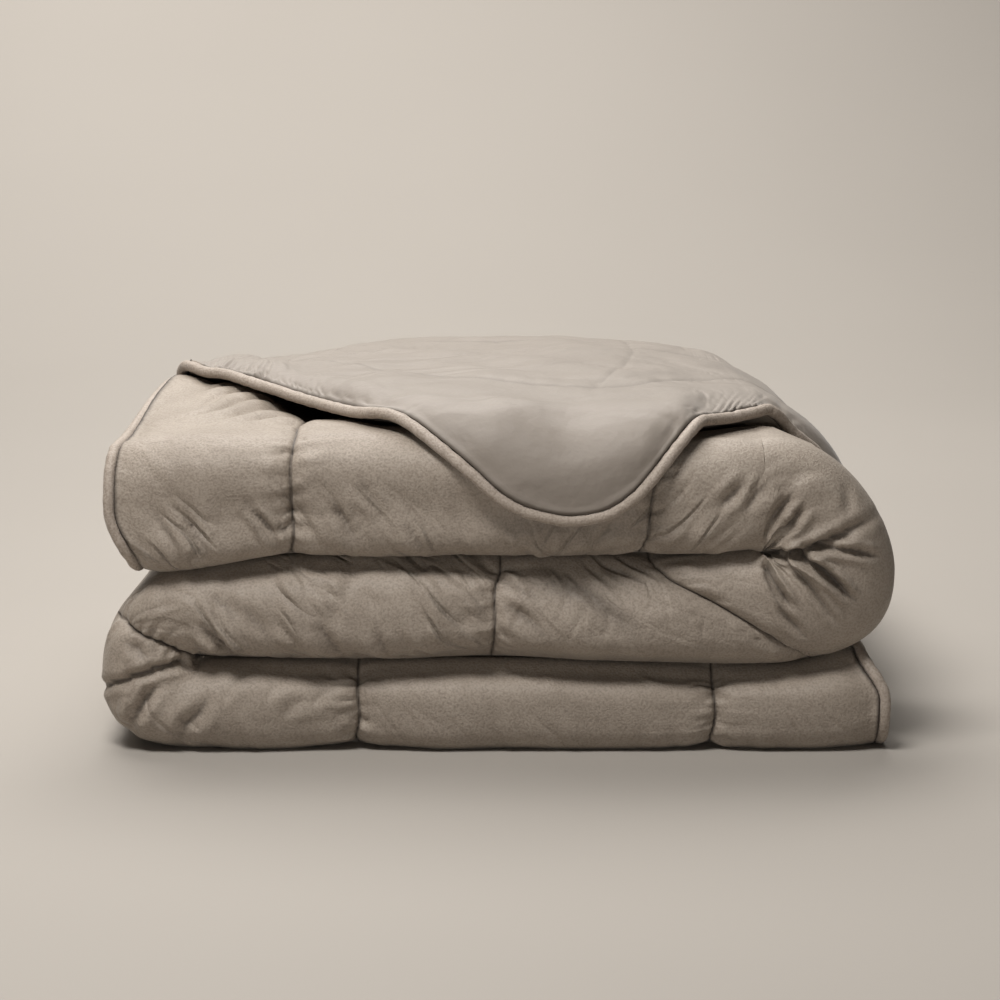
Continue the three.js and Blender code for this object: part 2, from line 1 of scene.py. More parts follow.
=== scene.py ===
"""Looks of the folded quilted duvet: velvet face, pale lining, piping, quilting, creases and studio.

The duvet is one filled cloth carried to its folded place by a map of two parameters, the same map
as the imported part's: 'place' runs along the fold (0 to 1 the bottom layer from its right end, 1 to
2 the left fold, 2 to 3 the middle layer, 3 to 4 the right fold, 4 to 5 the top layer) and the rows
run across the three plies of each layer. Lengths are millimetres until a mesh is made.
"""

import logging
import math
from dataclasses import dataclass, field
from enum import Enum
from typing import Callable, NamedTuple, Sequence

import bpy
import numpy as np
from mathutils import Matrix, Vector


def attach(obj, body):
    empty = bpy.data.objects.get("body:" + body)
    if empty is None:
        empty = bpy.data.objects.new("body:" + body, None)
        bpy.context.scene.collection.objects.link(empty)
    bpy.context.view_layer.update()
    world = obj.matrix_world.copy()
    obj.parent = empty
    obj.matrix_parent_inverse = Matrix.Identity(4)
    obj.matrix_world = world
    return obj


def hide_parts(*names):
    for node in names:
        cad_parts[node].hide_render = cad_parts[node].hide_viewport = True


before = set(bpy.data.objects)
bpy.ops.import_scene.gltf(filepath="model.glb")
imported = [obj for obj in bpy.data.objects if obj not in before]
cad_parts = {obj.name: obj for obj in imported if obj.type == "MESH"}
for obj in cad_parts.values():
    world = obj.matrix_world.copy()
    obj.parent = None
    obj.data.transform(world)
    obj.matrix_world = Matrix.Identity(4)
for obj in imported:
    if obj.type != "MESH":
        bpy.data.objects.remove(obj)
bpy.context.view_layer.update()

logging.basicConfig(level=logging.INFO, format="%(message)s")
LOG = logging.getLogger("duvet")

Array = np.ndarray

MM = 0.001  # metres in a millimetre
PHOTO_SIZE = 1000  # pixels along each side of the photograph's frame
SEED = 20
FAR = 1000.0  # an edge distance that is past every edge effect
TINY = 1e-9


class Side(Enum):
    """The two faces of the duvet."""

    VELVET = 0
    LINING = 1


class Ply(Enum):
    """The parts of the strip's section, from the under ply's free edge to the over ply's."""

    UNDER = "under"
    FRONT = "front"
    MIDDLE = "middle"
    REAR = "rear"
    OVER = "over"


def progress(value: Array, start: float, end: float) -> Array:
    """Smooth rise from 0 at start to 1 at end (3 s^2 - 2 s^3); the range may run downwards."""
    share = np.clip((value - start) / (end - start), 0.0, 1.0)
    return share * share * (3.0 - 2.0 * share)


class Span(NamedTuple):
    """A stretch over which something comes in, or goes where it runs downwards."""

    start: float
    end: float

    def of(self, value: Array) -> Array:
        """Smooth rise from 0 at the span's start to 1 at its end."""
        return progress(value, self.start, self.end)


def lerp(start: Array, end: Array, share: Array) -> Array:
    """The point a share of the way from start to end."""
    return start + (end - start) * share


def bell(distance: Array, width: float) -> Array:
    """A bell curve, exp(-(distance / width)^2)."""
    return np.exp(-((distance / width) ** 2))


class SmoothCurve:
    """A curve through a table's rows: Hermite pieces with the slope of each row's neighbours."""

    def __init__(self, at: Sequence[float], value: Sequence[float]) -> None:
        """Keeps the rows and works out their slopes.

        Args:
            at: Where each row lies, rising.
            value: The curve's value there.
        """
        self.at = np.array(at, float)
        self.value = np.array(value, float)
        before = np.maximum(np.arange(len(self.at)) - 1, 0)
        after = np.minimum(np.arange(len(self.at)) + 1, len(self.at) - 1)
        self.slope = (self.value[after] - self.value[before]) / (self.at[after] - self.at[before])

    def __call__(self, where: Array) -> Array:
        """The curve's value at each place; past the ends it stays at the end rows' values.

        Args:
            where: The places.

        Returns:
            The curve's values.
        """
        x = np.clip(where, self.at[0], self.at[-1])
        i = np.clip(np.searchsorted(self.at, x) - 1, 0, len(self.at) - 2)
        step = self.at[i + 1] - self.at[i]
        t = (x - self.at[i]) / step
        t2, t3 = t * t, t * t * t
        return (
            (2 * t3 - 3 * t2 + 1) * self.value[i]
            + (t3 - 2 * t2 + t) * step * self.slope[i]
            + (3 * t2 - 2 * t3) * self.value[i + 1]
            + (t3 - t2) * step * self.slope[i + 1]
        )


class Stop(NamedTuple):
    """A row of a table that a smooth curve goes through."""

    at: float
    value: float


class Along(NamedTuple):
    """What changes along the fold, as in the part's source."""

    place: float
    front: float  # how far back the front stands
    beside: float  # share of the layer's height that the two front plies fill beside the third
    under: float  # and under it
    hang: float  # how far the third ply's free edge reaches past the front's shoulder
    lift: float  # how far that edge stands off the ply below


class StitchedLine(NamedTuple):
    """A stitched line that crosses the layers."""

    place: float
    lean: float  # how much further along the fold it lies at the top of the layer than at its foot


class SideFold(NamedTuple):
    """A fold at a side of the stack."""

    bulge: float  # height of the outermost point
    reach: float  # how far it stands out from the fold's centre line
    upper: float  # exponent of the outline above the bulge
    lower: float  # and below it


# Heights across the front, by x
LOWER_SLIT = (
    Stop(-400, 81), Stop(-262, 80), Stop(-120, 79), Stop(0, 79.5), Stop(110, 77), Stop(232, 75),
    Stop(262, 75.5), Stop(300, 82), Stop(345, 91), Stop(400, 92),
)
UPPER_SLIT = (
    Stop(-400, 155), Stop(-342, 157), Stop(-262, 165), Stop(-186, 173), Stop(-60, 176), Stop(60, 176),
    Stop(140, 174), Stop(232, 180), Stop(300, 180),
)
TOP = (
    Stop(-400, 286), Stop(-320, 293), Stop(-200, 303), Stop(-60, 309), Stop(60, 309), Stop(160, 304),
    Stop(232, 293), Stop(300, 280),
)
ALONG = (
    Along(-0.2, 13, 1, 0.68, -126, 0),
    Along(0.5, 13, 1, 0.68, -128, 0),
    Along(1.5, 10, 1, 0.68, -124, 0),
    Along(2.5, 7, 1, 0.68, -124, 0),
    Along(3.1, 5, 1, 0.68, -118, 0),
    Along(3.25, 4, 1, 0.68, -112, 0),
    Along(3.5, 3, 1, 0.68, -100, 2),
    Along(3.8, 2, 0.94, 0.68, -84, 8),
    Along(4, 0, 0.85, 0.68, -58, 6),
    Along(4.1, 0, 0.8, 0.68, -6, 3),
    Along(4.15, 0, 0.783, 0.68, 32, 1),
    Along(4.2, 0, 0.77, 0.68, 65, 0),
    Along(4.25, 0, 0.763, 0.68, 79, 0),
    Along(4.3, 0, 0.76, 0.68, 83, 0),
    Along(4.35, 0, 0.76, 0.68, 78, 0),
    Along(4.4, 0, 0.76, 0.68, 69, 0),
    Along(4.45, 0, 0.768, 0.68, 51, 0),
    Along(4.5, 0, 0.78, 0.68, 32, 1),
    Along(4.55, 0, 0.794, 0.69, 10, 2),
    Along(4.6, 0, 0.805, 0.7, -14, 3),
    Along(4.7, 0, 0.82, 0.73, -92, 2),
    Along(4.8, 0, 0.835, 0.76, -156, 8),
    Along(4.9, 2, 0.855, 0.78, -212, 15),
    Along(4.95, 3, 0.855, 0.78, -233, 13),
    Along(5, 5, 0.85, 0.78, -250, 3),
    Along(5.2, 8, 0.85, 0.78, -280, 3),
)
STITCHED_LINES = (
    StitchedLine(0.244, 0), StitchedLine(0.768, 0), StitchedLine(1.7, 0.05),
    StitchedLine(2.53, -0.01), StitchedLine(2.95, 0.3), StitchedLine(4.17, -0.03),
    StitchedLine(4.728, 0),
)

FLAP_OPEN = Span(3.05, 3.3)  # along the fold, where the lining comes out of the slit


def curve_of(table: Sequence[Stop]) -> SmoothCurve:
    """The smooth curve through a table's rows."""
    return SmoothCurve(*zip(*table))


@dataclass
class Section:
    """The strip's section at a grid of places and rows: y and the height h above the velvet side."""

    face_y: Array
    face_h: Array
    lining_y: Array
    lining_h: Array
    plump: Array


@dataclass(frozen=True)
class FoldMap:
    """Carries a place along the fold and a row across the plies to a point of the folded stack.

    The strip is a pair of lines in the X-Z plane, the velvet side's and the other side's, that go
    back and forth through the layers. Its section in the Y-h plane is the under ply, the rounded
    front fold, the middle ply, the rounded rear fold and the over ply, whose free part is turned
    forward along a path over the two plies below. A section point's share of the layer's height
    places it between the two lines.
    """

    right_end: float = 338.0
    left_end: float = -331.0
    left_turn: float = -262.0
    right_turn: float = 232.0
    stack_depth: float = 655.0
    short_ply_depth: float = 642.0
    fold_rounding: float = 42.0
    front_hollow: float = 6.0
    rear_rounding: float = 40.0
    rear_hollow: float = 5.0
    layer_gap: float = 2.4
    ply_gap: float = 3.0
    flap_thickness: float = 17.0
    flap_standoff: float = 6.0
    ply_meeting: float = 0.4
    step_length: float = 60.0
    step_shown: float = 4.0
    step_hidden: float = -78.0
    least_setback: float = 12.0
    front_fullness: float = 2.3
    end_tuck: float = 20.0
    end_parting: float = 12.0
    parting_back: float = 0.75
    corner_curl: float = 0.13
    left_fold: SideFold = SideFold(70, 87.5, 2.05, 2.6)
    right_fold: SideFold = SideFold(162, 118, 1.75, 2.5)
    dome: float = 0.03
    rear_droop: float = 0.035
    left_droop: float = 0.045
    rear_narrowing: float = 0.045
    left_lean: float = 0.05
    edge_thickness: float = 6.0
    edge_taper: float = 58.0
    edge_lift: float = 2.2
    corner_radius: float = 46.0
    askew: float = 0.19
    askew_across: float = 420.0
    rear_squeeze: float = 0.55
    lean_reach: float = 0.34
    quarter_length: float = 0.82  # of a rounded outline's quarter, per millimetre of its radii
    normal_step: float = 1.0
    step_shows: Span = Span(3.75, 4.05)  # along the fold
    curl_places: Span = Span(4.92, 5)
    curl_depths: Span = Span(60, 300)  # back from the front
    parting_depths: Span = Span(-90, 0)  # back from the rear turn
    lift_edge: Span = Span(170, 30)  # from the free edge
    standoff_past: Span = Span(-40, 10)  # past the shoulder
    thinning_past: Span = Span(-60, 40)
    foot_tuck: tuple[Span, Span] = (Span(0.45, 0), Span(4.86, 5))  # in height, along the fold
    head_tuck: tuple[Span, Span] = (Span(0.55, 1), Span(0.13, 0))
    high: Span = Span(90, 240)  # above the ground
    droop_left: tuple[Span, Span] = (Span(80, 300), Span(0.5, 0.92))  # to the left, share of depth
    lean_left: Span = Span(120, 330)
    askew_places: tuple[Span, Span] = (Span(3.9, 4.3), Span(5, 4.6))
    origin: tuple[float, float, float] = (1.726, 319.17, 0.0)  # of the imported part, in this map

    @property
    def rear_turn(self) -> float:
        """Where the rear fold begins to round."""
        return self.stack_depth - self.rear_rounding

    @property
    def bottom_length(self) -> float:
        """Length of the bottom layer."""
        return self.right_end - self.left_turn

    @property
    def top_length(self) -> float:
        """Length of the top layer."""
        return self.right_turn - self.left_end

    def curve(self, name: str) -> SmoothCurve:
        """A column of the table along the fold."""
        return SmoothCurve([row.place for row in ALONG], [getattr(row, name) for row in ALONG])

    def rounded(self, degrees: Array, fullness: Array | float) -> tuple[Array, Array]:
        """A superellipse's quarter turns: (out, up) at -90 to 90 degrees, foot over side to top.

        Args:
            degrees: Degrees of the quarter turns.
            fullness: How square the outline is; 2 is an ellipse.

        Returns:
            How far out and how far up each point lies, as shares of the radii.
        """
        angle = np.radians(degrees)
        out = np.abs(np.cos(angle)) ** (2.0 / fullness)
        up = np.sign(degrees) * np.abs(np.sin(angle)) ** (2.0 / fullness)
        return out, up

    def fold_outside(self, centre: float, side: float, fold: SideFold, foot: float, top: float,
                     share: Array) -> tuple[Array, Array]:
        """X and Z of a side fold's outer line: a superellipse from its foot to its top.

        Args:
            centre: X of the fold's centre line.
            side: -1 to the left, 1 to the right.
            fold: The fold at that side.
            foot: Height of its foot.
            top: Height of its top.
            share: Shares of the way from foot to top.

        Returns:
            X and Z of the line.
        """
        fullness = np.where(share < 0.5, fold.lower, fold.upper)
        out, up = self.rounded(180 * share - 90, fullness)
        rise = np.where(up < 0, fold.bulge - foot, top - fold.bulge)
        return centre + side * fold.reach * out, fold.bulge + rise * up

    def slit_end(self, x: float, z: float, side: float, share: Array) -> tuple[Array, Array]:
        """X and Z of a side fold's inner line: a small ellipse round the end of a slit."""
        out, up = self.rounded(180 * share - 90, 2.0)
        return x + side * self.layer_gap * out, z + self.layer_gap / 2 * up

    def rungs(self, place: Array) -> tuple[Array, Array, Array, Array]:
        """X and Z of the velvet side's line, then of the other side's line, at each place.

        Args:
            place: Places along the fold.

        Returns:
            X and Z on the velvet side's line, then on the other side's.
        """
        lower, upper, top = (curve_of(table) for table in (LOWER_SLIT, UPPER_SLIT, TOP))
        half = self.layer_gap / 2
        layer = np.clip(np.floor(place), 0, 4).astype(int)
        lefts, rights = np.clip(place - 1, 0, 1), np.clip(place - 3, 0, 1)
        x0 = lerp(self.right_end, self.left_turn, place)
        x2 = lerp(self.left_turn, self.right_turn, place - 2)
        x4 = lerp(self.right_turn, self.left_end, place - 4)
        left_top = upper(self.left_turn) - half
        right_foot = lower(self.right_turn) + half
        out1 = self.fold_outside(self.left_turn, -1, self.left_fold, 0, left_top, lefts)
        in1 = self.slit_end(self.left_turn, lower(self.left_turn), -1, lefts)
        in3 = self.slit_end(self.right_turn, upper(self.right_turn), 1, rights)
        out3 = self.fold_outside(self.right_turn, 1, self.right_fold, right_foot,
                                 top(self.right_turn), rights)
        lines = (
            (x0, out1[0], x2, in3[0], x4),
            (np.zeros_like(x0), out1[1], upper(x2) - half, in3[1], upper(x4) + half),
            (x0, in1[0], x2, out3[0], x4),
            (lower(x0) - half, in1[1], lower(x2) + half, out3[1], top(x4)),
        )
        return tuple(np.choose(layer, choices) for choices in lines)

    def height(self, place: Array) -> Array:
        """Distance between the two lines, the height of the layer or the thickness of the fold."""
        x0, z0, x1, z1 = self.rungs(place)
        return np.hypot(x1 - x0, z1 - z0)

    def shoulder(self, place: Array) -> Array:
        """Where the front fold begins to round."""
        return self.curve("front")(place) + self.fold_rounding

    def end_distance(self, place: Array) -> Array:
        """Millimetres from the nearer short edge."""
        return np.minimum(place * self.bottom_length, (5 - place) * self.top_length)

    def plumpness(self, distance: Array) -> Array:
        """0 at the piped edge, 1 where the filling is full, a quarter circle between."""
        share = np.clip(distance / self.edge_taper, 0, 1)
        return np.sqrt(1 - (1 - share) ** 2)

    def step_start(self, place: Array) -> Array:
        """Where the second ply steps down under the third.

        Args:
            place: Places along the fold.

        Returns:
            Y of the step.
        """
        setback = np.maximum(-self.curve("hang")(place), self.least_setback)
        shown = self.step_shows.of(place)
        return self.shoulder(place) + setback + lerp(self.step_hidden, self.step_shown, shown)

    def middle_top(self, place: Array, y: Array) -> Array:
        """The top of the two front plies, as a share of the layer's height.

        Args:
            place: Places along the fold.
            y: Millimetres back from the front.

        Returns:
            Shares of the layer's height.
        """
        start = self.step_start(place)
        curl = self.corner_curl * self.curl_places.of(place) * self.curl_depths.of(y)
        stepped = progress((y - start) / self.step_length, 0, 1)
        return lerp(self.curve("beside")(place) + curl, self.curve("under")(place), stepped)

    def meeting(self, place: Array) -> Array:
        """The seam where the two front plies meet, as a share of the layer's height."""
        return self.curve("beside")(place) * self.ply_meeting

    def over_path(self, place: Array, past: Array) -> tuple[Array, Array]:
        """The path of the third ply: over the top to the shoulder at 0, round the front, down.

        Args:
            place: Places along the fold.
            past: Millimetres past the front's shoulder.

        Returns:
            Y and the height h above the velvet side.
        """
        height = self.height(place)
        shoulder = self.shoulder(place)
        half = self.curve("beside")(place) * height / 2
        quarter = self.quarter_length * (self.fold_rounding + half)
        out, up = self.rounded(90 * (1 - np.minimum(past / quarter, 1)), self.front_fullness)
        on_top = past <= 0
        y_top = shoulder - past
        y = np.where(on_top, y_top, shoulder - self.fold_rounding * out)
        down = half * (1 + up) - np.maximum(past - quarter, 0)
        return y, np.where(on_top, self.middle_top(place, y_top) * height, down)

    def over_normal(self, place: Array, past: Array) -> tuple[Array, Array]:
        """The direction out of that path: straight up on top, forward on the front.

        Args:
            place: Places along the fold.
            past: Millimetres past the front's shoulder.

        Returns:
            Its parts along y and h.
        """
        y0, h0 = self.over_path(place, past - self.normal_step)
        y1, h1 = self.over_path(place, past + self.normal_step)
        run = np.hypot(y1 - y0, h1 - h0)
        flat = past < -2 * self.normal_step
        return np.where(flat, 0, (h1 - h0) / run), np.where(flat, 1, -(y1 - y0) / run)

    def parting(self, place: Array, y: Array) -> Array:
        """How far the second and the third ply part near the rear fold at the two ends."""
        opened = 1 - self.plumpness(self.end_distance(place))
        return self.end_parting * opened * self.parting_depths.of(y - self.rear_turn)

    def under(self, place: Array, edge: Array) -> Section:
        """The under ply: flat, from its piped edge forward to the front fold.

        Args:
            place: Places along the fold.
            edge: Millimetres from the free edge.

        Returns:
            The ply's section.
        """
        y = self.short_ply_depth - edge
        thick = self.meeting(place) * self.height(place) - self.ply_gap / 2
        plump = self.plumpness(self.end_distance(place)) * self.plumpness(edge)
        return Section(y, np.zeros_like(y), y, thick, plump)

    def front(self, place: Array, angle: Array) -> Section:
        """The front fold: a superellipse outside, a small one inside.

        Args:
            place: Places along the fold.
            angle: Degrees round the fold.

        Returns:
            The fold's section.
        """
        out, up = self.rounded(angle, self.front_fullness)
        shoulder = self.shoulder(place)
        height = self.height(place)
        half = self.curve("beside")(place) * height / 2
        inner = self.meeting(place) * height + self.ply_gap / 2 * up
        return Section(shoulder - self.fold_rounding * out, half * (1 + up),
                       shoulder - self.front_hollow * out, inner,
                       self.plumpness(self.end_distance(place)))

    def middle(self, place: Array, y: Array) -> Section:
        """The second ply: on the seam below, stepping down under the third ply.

        Args:
            place: Places along the fold.
            y: Millimetres back from the front.

        Returns:
            The ply's section.
        """
        height = self.height(place)
        face = self.middle_top(place, y) * height - self.parting(place, y)
        lining = self.meeting(place) * height + self.ply_gap / 2
        return Section(y, face, y, lining, self.plumpness(self.end_distance(place)))

    def rear(self, place: Array, angle: Array) -> Section:
        """The rear fold: a superellipse outside, a small one inside that opens at the ends.

        Args:
            place: Places along the fold.
            angle: Degrees round the fold.

        Returns:
            The fold's section.
        """
        out, up = self.rounded(angle, self.front_fullness)
        height = self.height(place)
        full = self.plumpness(self.end_distance(place))
        parting = self.end_parting * (1 - full)
        foot = self.meeting(place) * height + self.ply_gap / 2
        inner = self.curve("under")(place) * height + self.ply_gap / 2
        return Section(
            self.rear_turn + (self.rear_hollow + self.parting_back * parting) * out,
            inner + (self.ply_gap / 2 + parting) * up,
            self.rear_turn + self.rear_rounding * out,
            lerp(foot, height, (1 + up) / 2),
            full,
        )

    def over(self, place: Array, past: Array, edge: Array) -> Section:
        """The third ply: a slab laid on its path, thinner where it hangs, lifted at its edge.

        Args:
            place: Places along the fold.
            past: Millimetres past the front's shoulder.
            edge: Millimetres from the free edge.

        Returns:
            The ply's section.
        """
        y, h = self.over_path(place, past)
        ny, nh = self.over_normal(place, past)
        lift = self.curve("lift")(place) * self.lift_edge.of(edge)
        raised = self.ply_gap + self.parting(place, y) + lift
        raised = raised + self.flap_standoff * self.standoff_past.of(past)
        room = (1 - self.middle_top(place, y)) * self.height(place) - self.ply_gap
        full = np.maximum(room, self.flap_thickness)
        thick = lerp(full, self.flap_thickness, self.thinning_past.of(past))
        outer = raised + thick
        plump = self.plumpness(self.end_distance(place)) * self.plumpness(edge)
        return Section(y + ny * raised, h + nh * raised, y + ny * outer, h + nh * outer, plump)

    def round_corner(self, place: Array, edge: Array) -> tuple[Array, Array]:
        """Moves the corners' points in to a quarter circle of the corner's radius.

        Args:
            place: Places along the fold.
            edge: Millimetres from the free edge.

        Returns:
            The moved places and edge distances.
        """
        radius = self.corner_radius
        a = radius - self.end_distance(place)
        b = radius - edge
        inside = (a > 0) & (b > 0)
        rounded = np.maximum(a, b) / np.maximum(np.hypot(a, b), TINY)
        distance = radius - a * rounded
        moved = np.where(place < 2.5, distance / self.bottom_length, 5 - distance / self.top_length)
        return np.where(inside, moved, place), np.where(inside, radius - b * rounded, edge)

    def lean(self, place: Array, share: Array) -> Array:
        """The cloth beside a leaning line is carried with it, more the higher it lies.

        Args:
            place: Places along the fold.
            share: Shares of the layer's height.

        Returns:
            The places, carried with the lines.
        """
        leaned = place.copy()
        for line in STITCHED_LINES:
            near = np.clip(1 - np.abs(place - line.place) / self.lean_reach, 0, 1)
            leaned = leaned + line.lean * (share - 0.5) * near
        return leaned

    def tuck(self, place: Array, share: Array) -> Array:
        """How far an end is tucked in: the bottom layer's at its top, the top layer's at its foot.

        Args:
            place: Places along the fold.
            share: Shares of the layer's height.

        Returns:
            Millimetres, to the right above 0.
        """
        bottom = self.head_tuck[0].of(share) * self.head_tuck[1].of(place)
        top = self.foot_tuck[0].of(share) * self.foot_tuck[1].of(place)
        return self.end_tuck * (top - bottom)

    def settle(self, x: Array, y: Array, z: Array) -> Array:
        """The stack narrows, domes and droops towards the rear; the result is in the part's frame.

        Args:
            x: Millimetres to the right.
            y: Millimetres back from the front.
            z: Millimetres above the ground.

        Returns:
            Points in the part's frame.
        """
        back = np.clip(y / self.stack_depth, 0, 1)
        high = self.high.of(z)
        at_left = self.droop_left[0].of(-x) * self.droop_left[1].of(back)
        droop = self.rear_droop * back * back + self.left_droop * at_left
        rise = 1 + high * (self.dome * np.sin(np.pi * back) - droop)
        narrow = 1 - self.rear_narrowing * back * high
        shift = self.left_lean * y * high * self.lean_left.of(-x)
        return np.stack([x * narrow + shift, y, z * rise], axis=-1) - np.array(self.origin)


@dataclass
class PlyRows:
    """The rows of one ply: what each lies at, and how near the free edge that is."""

    ply: Ply
    at: Array
    edge: Array
    askew_edge: Array
    place_of: Callable[[FoldMap, Array, Array], Array]

    def grid(self, fold: FoldMap, columns: Array) -> dict[str, Array]:
        """The ply's points on both faces.

        Args:
            fold: The folding map.
            columns: Places of the columns.

        Returns:
            Arrays of rows by columns: the points of each side, and what the relief needs.
        """
        column = np.broadcast_to(columns, (len(self.at), len(columns)))
        edge = np.broadcast_to(self.edge[:, None], column.shape)
        place, near_edge = fold.round_corner(column, edge)
        pulled = fold.askew_places[0].of(place) * fold.askew_places[1].of(place)
        forward = 1 - progress(np.minimum(self.askew_edge[:, None], near_edge), 0, fold.askew_across)
        if self.ply is Ply.OVER:
            place = place + fold.askew * pulled * forward
        section = self.place_of(fold, place, near_edge)
        reach_y = section.lining_y - section.face_y
        reach_h = section.lining_h - section.face_h
        reach = np.hypot(reach_y, reach_h)
        to_border = np.minimum(near_edge, fold.end_distance(column))
        lift = fold.edge_lift * (1 - fold.plumpness(2 * to_border))
        thickness = lerp(fold.edge_thickness, reach, section.plump)
        made = {"plump": section.plump, "to_border": to_border, "edge": near_edge}
        for side, depth in ((Side.VELVET, lift), (Side.LINING, lift + thickness)):
            share = (section.face_h + reach_h / reach * depth) / fold.height(place)
            x0, z0, x1, z1 = fold.rungs(fold.lean(place, np.clip(share, 0, 1)))
            x = lerp(x0, x1, share) + fold.tuck(place, share)
            made[side.name] = fold.settle(x, section.face_y + reach_y / reach * depth,
                                          lerp(z0, z1, share))
        return made


def spread(stops: Sequence[float], counts: Sequence[int]) -> Array:
    """Values from stop to stop, each stretch in that many even steps, the last stop left out."""
    runs = [np.linspace(a, b, n, endpoint=False) for a, b, n in zip(stops, stops[1:], counts)]
    return np.concatenate(runs)


def far(count: int) -> Array:
    """Edge distances past every edge effect."""
    return np.full(count, FAR)


def ply_rows() -> list[PlyRows]:
    """The rows of the whole section, from the under ply's free edge to the over ply's.

    Returns:
        The five plies, from the under ply to the over ply.
    """
    under = spread((0, 20, 60, 148, 184, 400, 560), (7, 6, 4, 6, 6, 3))
    front = np.append(spread((-90, -60, 60, 90), (8, 33, 8)), 90.0)
    ahead = spread((0.015, 0.3, 1), (12, 26))
    stepped = spread((0, 60), (6,))
    behind = spread((0, 1), (7,))
    middle = np.concatenate([ahead, stepped, behind])
    rear = np.append(spread((-90, 90), (18,)), 90.0)
    from_rear = spread((14, 104, 144), (4, 6))
    span = spread((0, 1), (10,))
    to_edge = np.append(spread((240, 184, 148, 60, 20, 0), (4, 6, 8, 8, 8)), 0.0)

    def middle_y(fold: FoldMap, place: Array) -> Array:
        """Y of the second ply's rows: ahead of its step, down the step, and behind it.

        Args:
            fold: The folding map.
            place: Places along the fold.

        Returns:
            Rows by columns.
        """
        shoulder, start = fold.shoulder(place), fold.step_start(place)
        foot = start + fold.step_length
        rows = [lerp(shoulder[:1], start[:1], ahead[:, None]),
                start[:1] + stepped[:, None],
                lerp(foot[:1], fold.rear_turn, behind[:, None])]
        return np.concatenate(rows)

    def over_past(fold: FoldMap, place: Array) -> Array:
        """The third ply's rows along its path: measured from the rear, then from its edge.

        Args:
            fold: The folding map.
            place: Places along the fold.

        Returns:
            Rows by columns, in millimetres past the shoulder.
        """
        squeeze = 1 - fold.rear_squeeze * progress(place, 4.5, 5)
        rear_mm = np.concatenate([from_rear, np.full(len(span), 144.0), np.zeros(len(to_edge))])
        edge_mm = np.concatenate([np.zeros(len(from_rear)), np.full(len(span), 240.0), to_edge])
        from_edge = np.concatenate([np.zeros(len(from_rear)), span, np.ones(len(to_edge))])[:, None]
        by_rear = fold.shoulder(place) - fold.rear_turn + rear_mm[:, None] * squeeze
        return lerp(by_rear, fold.curve("hang")(place) - edge_mm[:, None], from_edge)

    def over(fold: FoldMap, place: Array, edge: Array) -> Section:
        """The third ply's section, its edge rows following the rounded corner."""
        moved_in = np.where(edge < FAR / 2, edge - rows_edge[:, None], 0)
        return fold.over(place, over_past(fold, place) - moved_in, edge)

    rows_edge = np.concatenate([far(len(from_rear)), far(len(span)), to_edge])
    askew_edge = np.concatenate([far(len(from_rear)), lerp(420.0, 240.0, span), to_edge])
    return [
        PlyRows(Ply.UNDER, under, under, far(len(under)), FoldMap.under),
        PlyRows(Ply.FRONT, front, far(len(front)), far(len(front)),
                lambda f, p, e: f.front(p, np.broadcast_to(front[:, None], p.shape))),
        PlyRows(Ply.MIDDLE, middle, far(len(middle)), far(len(middle)),
                lambda f, p, e: f.middle(p, middle_y(f, p))),
        PlyRows(Ply.REAR, rear, far(len(rear)), far(len(rear)),
                lambda f, p, e: f.rear(p, np.broadcast_to(rear[:, None], p.shape))),
        PlyRows(Ply.OVER, rows_edge, rows_edge, askew_edge, over),
    ]


def travelled(points: Array, axis: int) -> Array:
    """Millimetres travelled along an axis of a grid of points, from its first line.

    Args:
        points: Points in millimetres.
        axis: The axis along which to travel.

    Returns:
        Lengths, 0 on the first line.
    """
    steps = np.linalg.norm(np.diff(points, axis=axis), axis=-1)
    start = np.zeros_like(np.take(steps, [0], axis=axis))
    return np.concatenate([start, np.cumsum(steps, axis=axis)], axis=axis)


